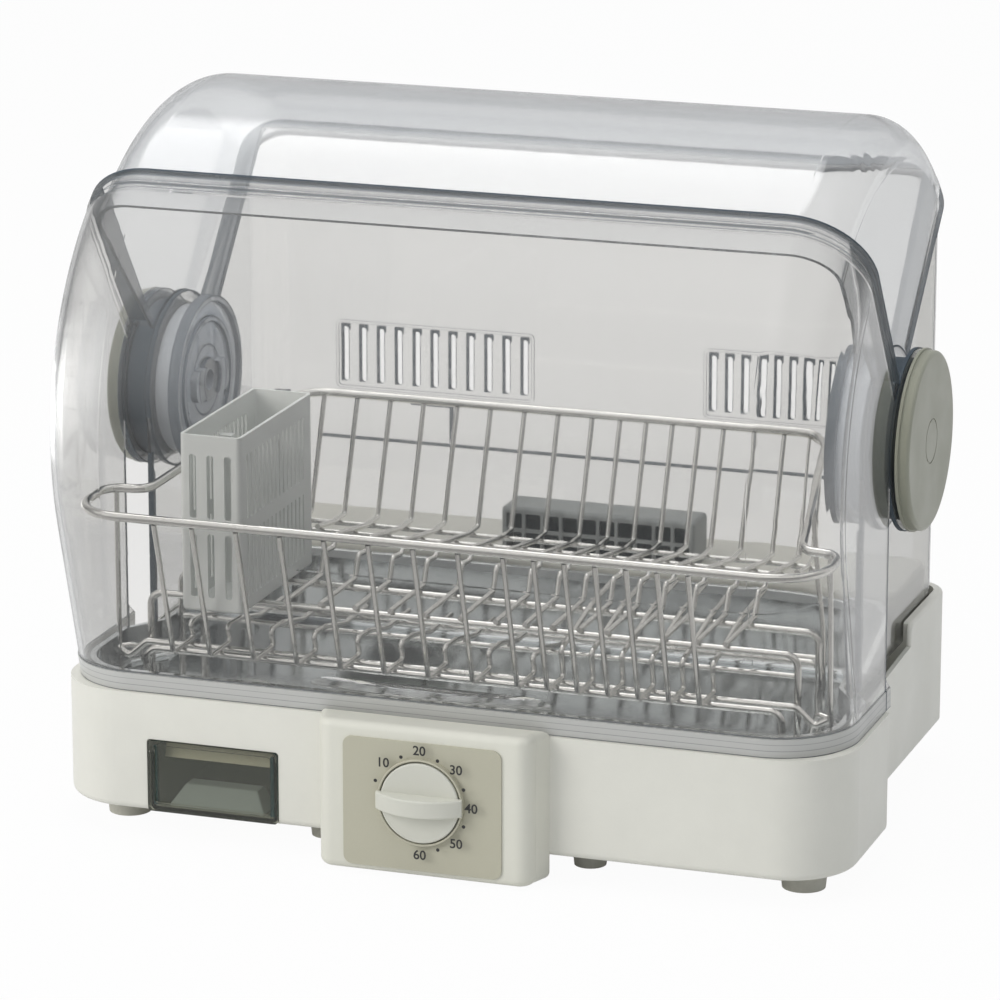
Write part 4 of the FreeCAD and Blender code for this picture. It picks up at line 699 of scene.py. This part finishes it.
# Stage: floor, lamps, world and camera. What mirrors and clear plastic see is a pale floor behind
# the dryer with a bright patch at the left, a darker room to its sides and in front, and soft
# bright fields above and behind.

FLOOR_HALF = 30
FLOOR_WHITE = 0.96
PALE, DIM = 1.0, 0.42
PALE_FROM = (-0.5, 0.1)
FAR_FROM = (1.0, 3.5)
PATCH_SPOT, PATCH_REACH, PATCH_LEVEL = (-0.95, 0.68, 0), (0.05, 0.45), 3.0
ROOM_FIELDS = (
    ((-0.55, -0.55, 0.65), (0.60, 0.98), 0.95),
    ((0.35, -0.25, 1.0), (0.60, 0.97), 0.8),
    ((0.1, 1.0, 0.25), (0.2, 0.9), 0.6),
    ((-0.31, 0.33, 0.885), (0.93, 0.99), 3.5),
)


def background_ray(shader):
    """Which rays see the background (from the camera, off a mirror or through glass), and which
    of them come straight from the camera."""
    paths = shader.node("LightPath")
    bent = shader.math("MAXIMUM", paths.outputs["Is Glossy Ray"], paths.outputs["Is Transmission Ray"])
    return shader.math("MAXIMUM", paths.outputs["Is Camera Ray"], bent), paths.outputs["Is Camera Ray"]


def room_level(shader, heading):
    """How bright the room is in a direction; the far floor takes the level of the horizon above it."""
    level = DIM
    for direction, window, strength in ROOM_FIELDS:
        bright = shader.math("MULTIPLY", shader.field(heading, direction, window), strength)
        level = shader.math("ADD", bright, level)
    return level


floor_shader = Shader("floor_white")
matt = floor_shader.node("BsdfDiffuse")
matt.inputs["Color"].default_value = (0.80, 0.80, 0.79, 1)
seen, direct = background_ray(floor_shader)
spot = floor_shader.coordinates()
near_level = floor_shader.ranged(floor_shader.along((0, 1, 0)), PALE_FROM, DIM, PALE, "SMOOTHSTEP")
far_level = room_level(floor_shader, floor_shader.vector("NORMALIZE", spot)["Vector"])
away = floor_shader.vector("LENGTH", spot)["Value"]
level = floor_shader.node("Mix")
for socket, value in zip((level.inputs[0], level.inputs[2], level.inputs[3]),
                         (floor_shader.ranged(away, FAR_FROM, kind="SMOOTHSTEP"), near_level, far_level)):
    floor_shader.link(value, socket)
from_patch = floor_shader.vector("DISTANCE", spot, PATCH_SPOT)["Value"]
patch = floor_shader.ranged(from_patch, PATCH_REACH, PATCH_LEVEL, 0.0, "SMOOTHERSTEP")
lit = floor_shader.math("ADD", level.outputs[0], patch)
lit = floor_shader.math("MULTIPLY", lit, floor_shader.math("SUBTRACT", 1.0, direct))
glow = floor_shader.node("Emission")
floor_shader.link(floor_shader.math("ADD", lit, direct), glow.inputs["Strength"])
floor_surface = floor_shader.blend(floor_shader.math("MULTIPLY", seen, FLOOR_WHITE), matt.outputs["BSDF"],
                                   glow.outputs["Emission"])
floor_mesh = bmesh.new()
bmesh.ops.create_grid(floor_mesh, x_segments=1, y_segments=1, size=FLOOR_HALF)
floor_data = bpy.data.meshes.new("floor")
floor_mesh.to_mesh(floor_data)
floor_mesh.free()
floor_data.materials.append(floor_shader.finish(floor_surface))
floor = bpy.data.objects.new("floor", floor_data)
scene.collection.objects.link(floor)

room = Shader("studio", bpy.data.worlds, "OutputWorld")


def glowing(level, colour):
    made = room.node("Background")
    room.feed(made, Color=(*colour, 1), Strength=level)
    return made.outputs[0]


SOFT_LEVEL, SOFT_COLOUR = 0.52, (0.94, 0.965, 1.0)
MIRRORED_COLOUR, BACKDROP_COLOUR = (0.8, 0.8, 0.8), (1, 1, 1)
mirrored_room = glowing(room_level(room, room.node("TexCoord").outputs["Generated"]), MIRRORED_COLOUR)
seen, direct = background_ray(room)
indirect = room.blend(seen, glowing(SOFT_LEVEL, SOFT_COLOUR), mirrored_room)
scene.world = room.finish(room.blend(direct, indirect, glowing(1.0, BACKDROP_COLOUR)))


def lamp(name, spot, aim, width, height, power, colour=(1, 1, 1)):
    """A soft lamp that lights matt surfaces; mirrors see the bright fields of the room instead."""
    data = bpy.data.lights.new(name, "AREA")
    data.shape = "RECTANGLE"
    data.size = width
    data.size_y = height
    data.energy = power
    data.color = colour
    made = bpy.data.objects.new(name, data)
    made.location = spot
    made.rotation_euler = (Vector(aim) - Vector(spot)).to_track_quat("-Z", "Y").to_euler()
    made.visible_glossy = False
    made.visible_transmission = False
    scene.collection.objects.link(made)


lamp("key", (-1.7, -1.8, 1.3), (0, 0, 0.15), 1.3, 1.3, 31, (1, 0.985, 0.96))
lamp("top", (-0.1, -0.2, 2.2), (0, 0, 0.2), 1.6, 1.2, 15)
lamp("fill", (1.9, -1.3, 0.9), (0, 0, 0.2), 1.0, 1.4, 0.5, (0.96, 0.98, 1))

CAMERA_SPOT = Vector((0.88310, -2.57846, 0.92040))
CAMERA_AIM = Vector((-0.3147, 0.9116, -0.2642))
camera_data = bpy.data.cameras.new("camera")
camera_data.lens = 183.9
camera_data.sensor_width = 36
camera_data.clip_end = 200
camera = bpy.data.objects.new("camera", camera_data)
camera.location = CAMERA_SPOT
camera.rotation_euler = CAMERA_AIM.to_track_quat("-Z", "Y").to_euler()
scene.collection.objects.link(camera)
scene.camera = camera
scene.view_settings.view_transform = "Standard"
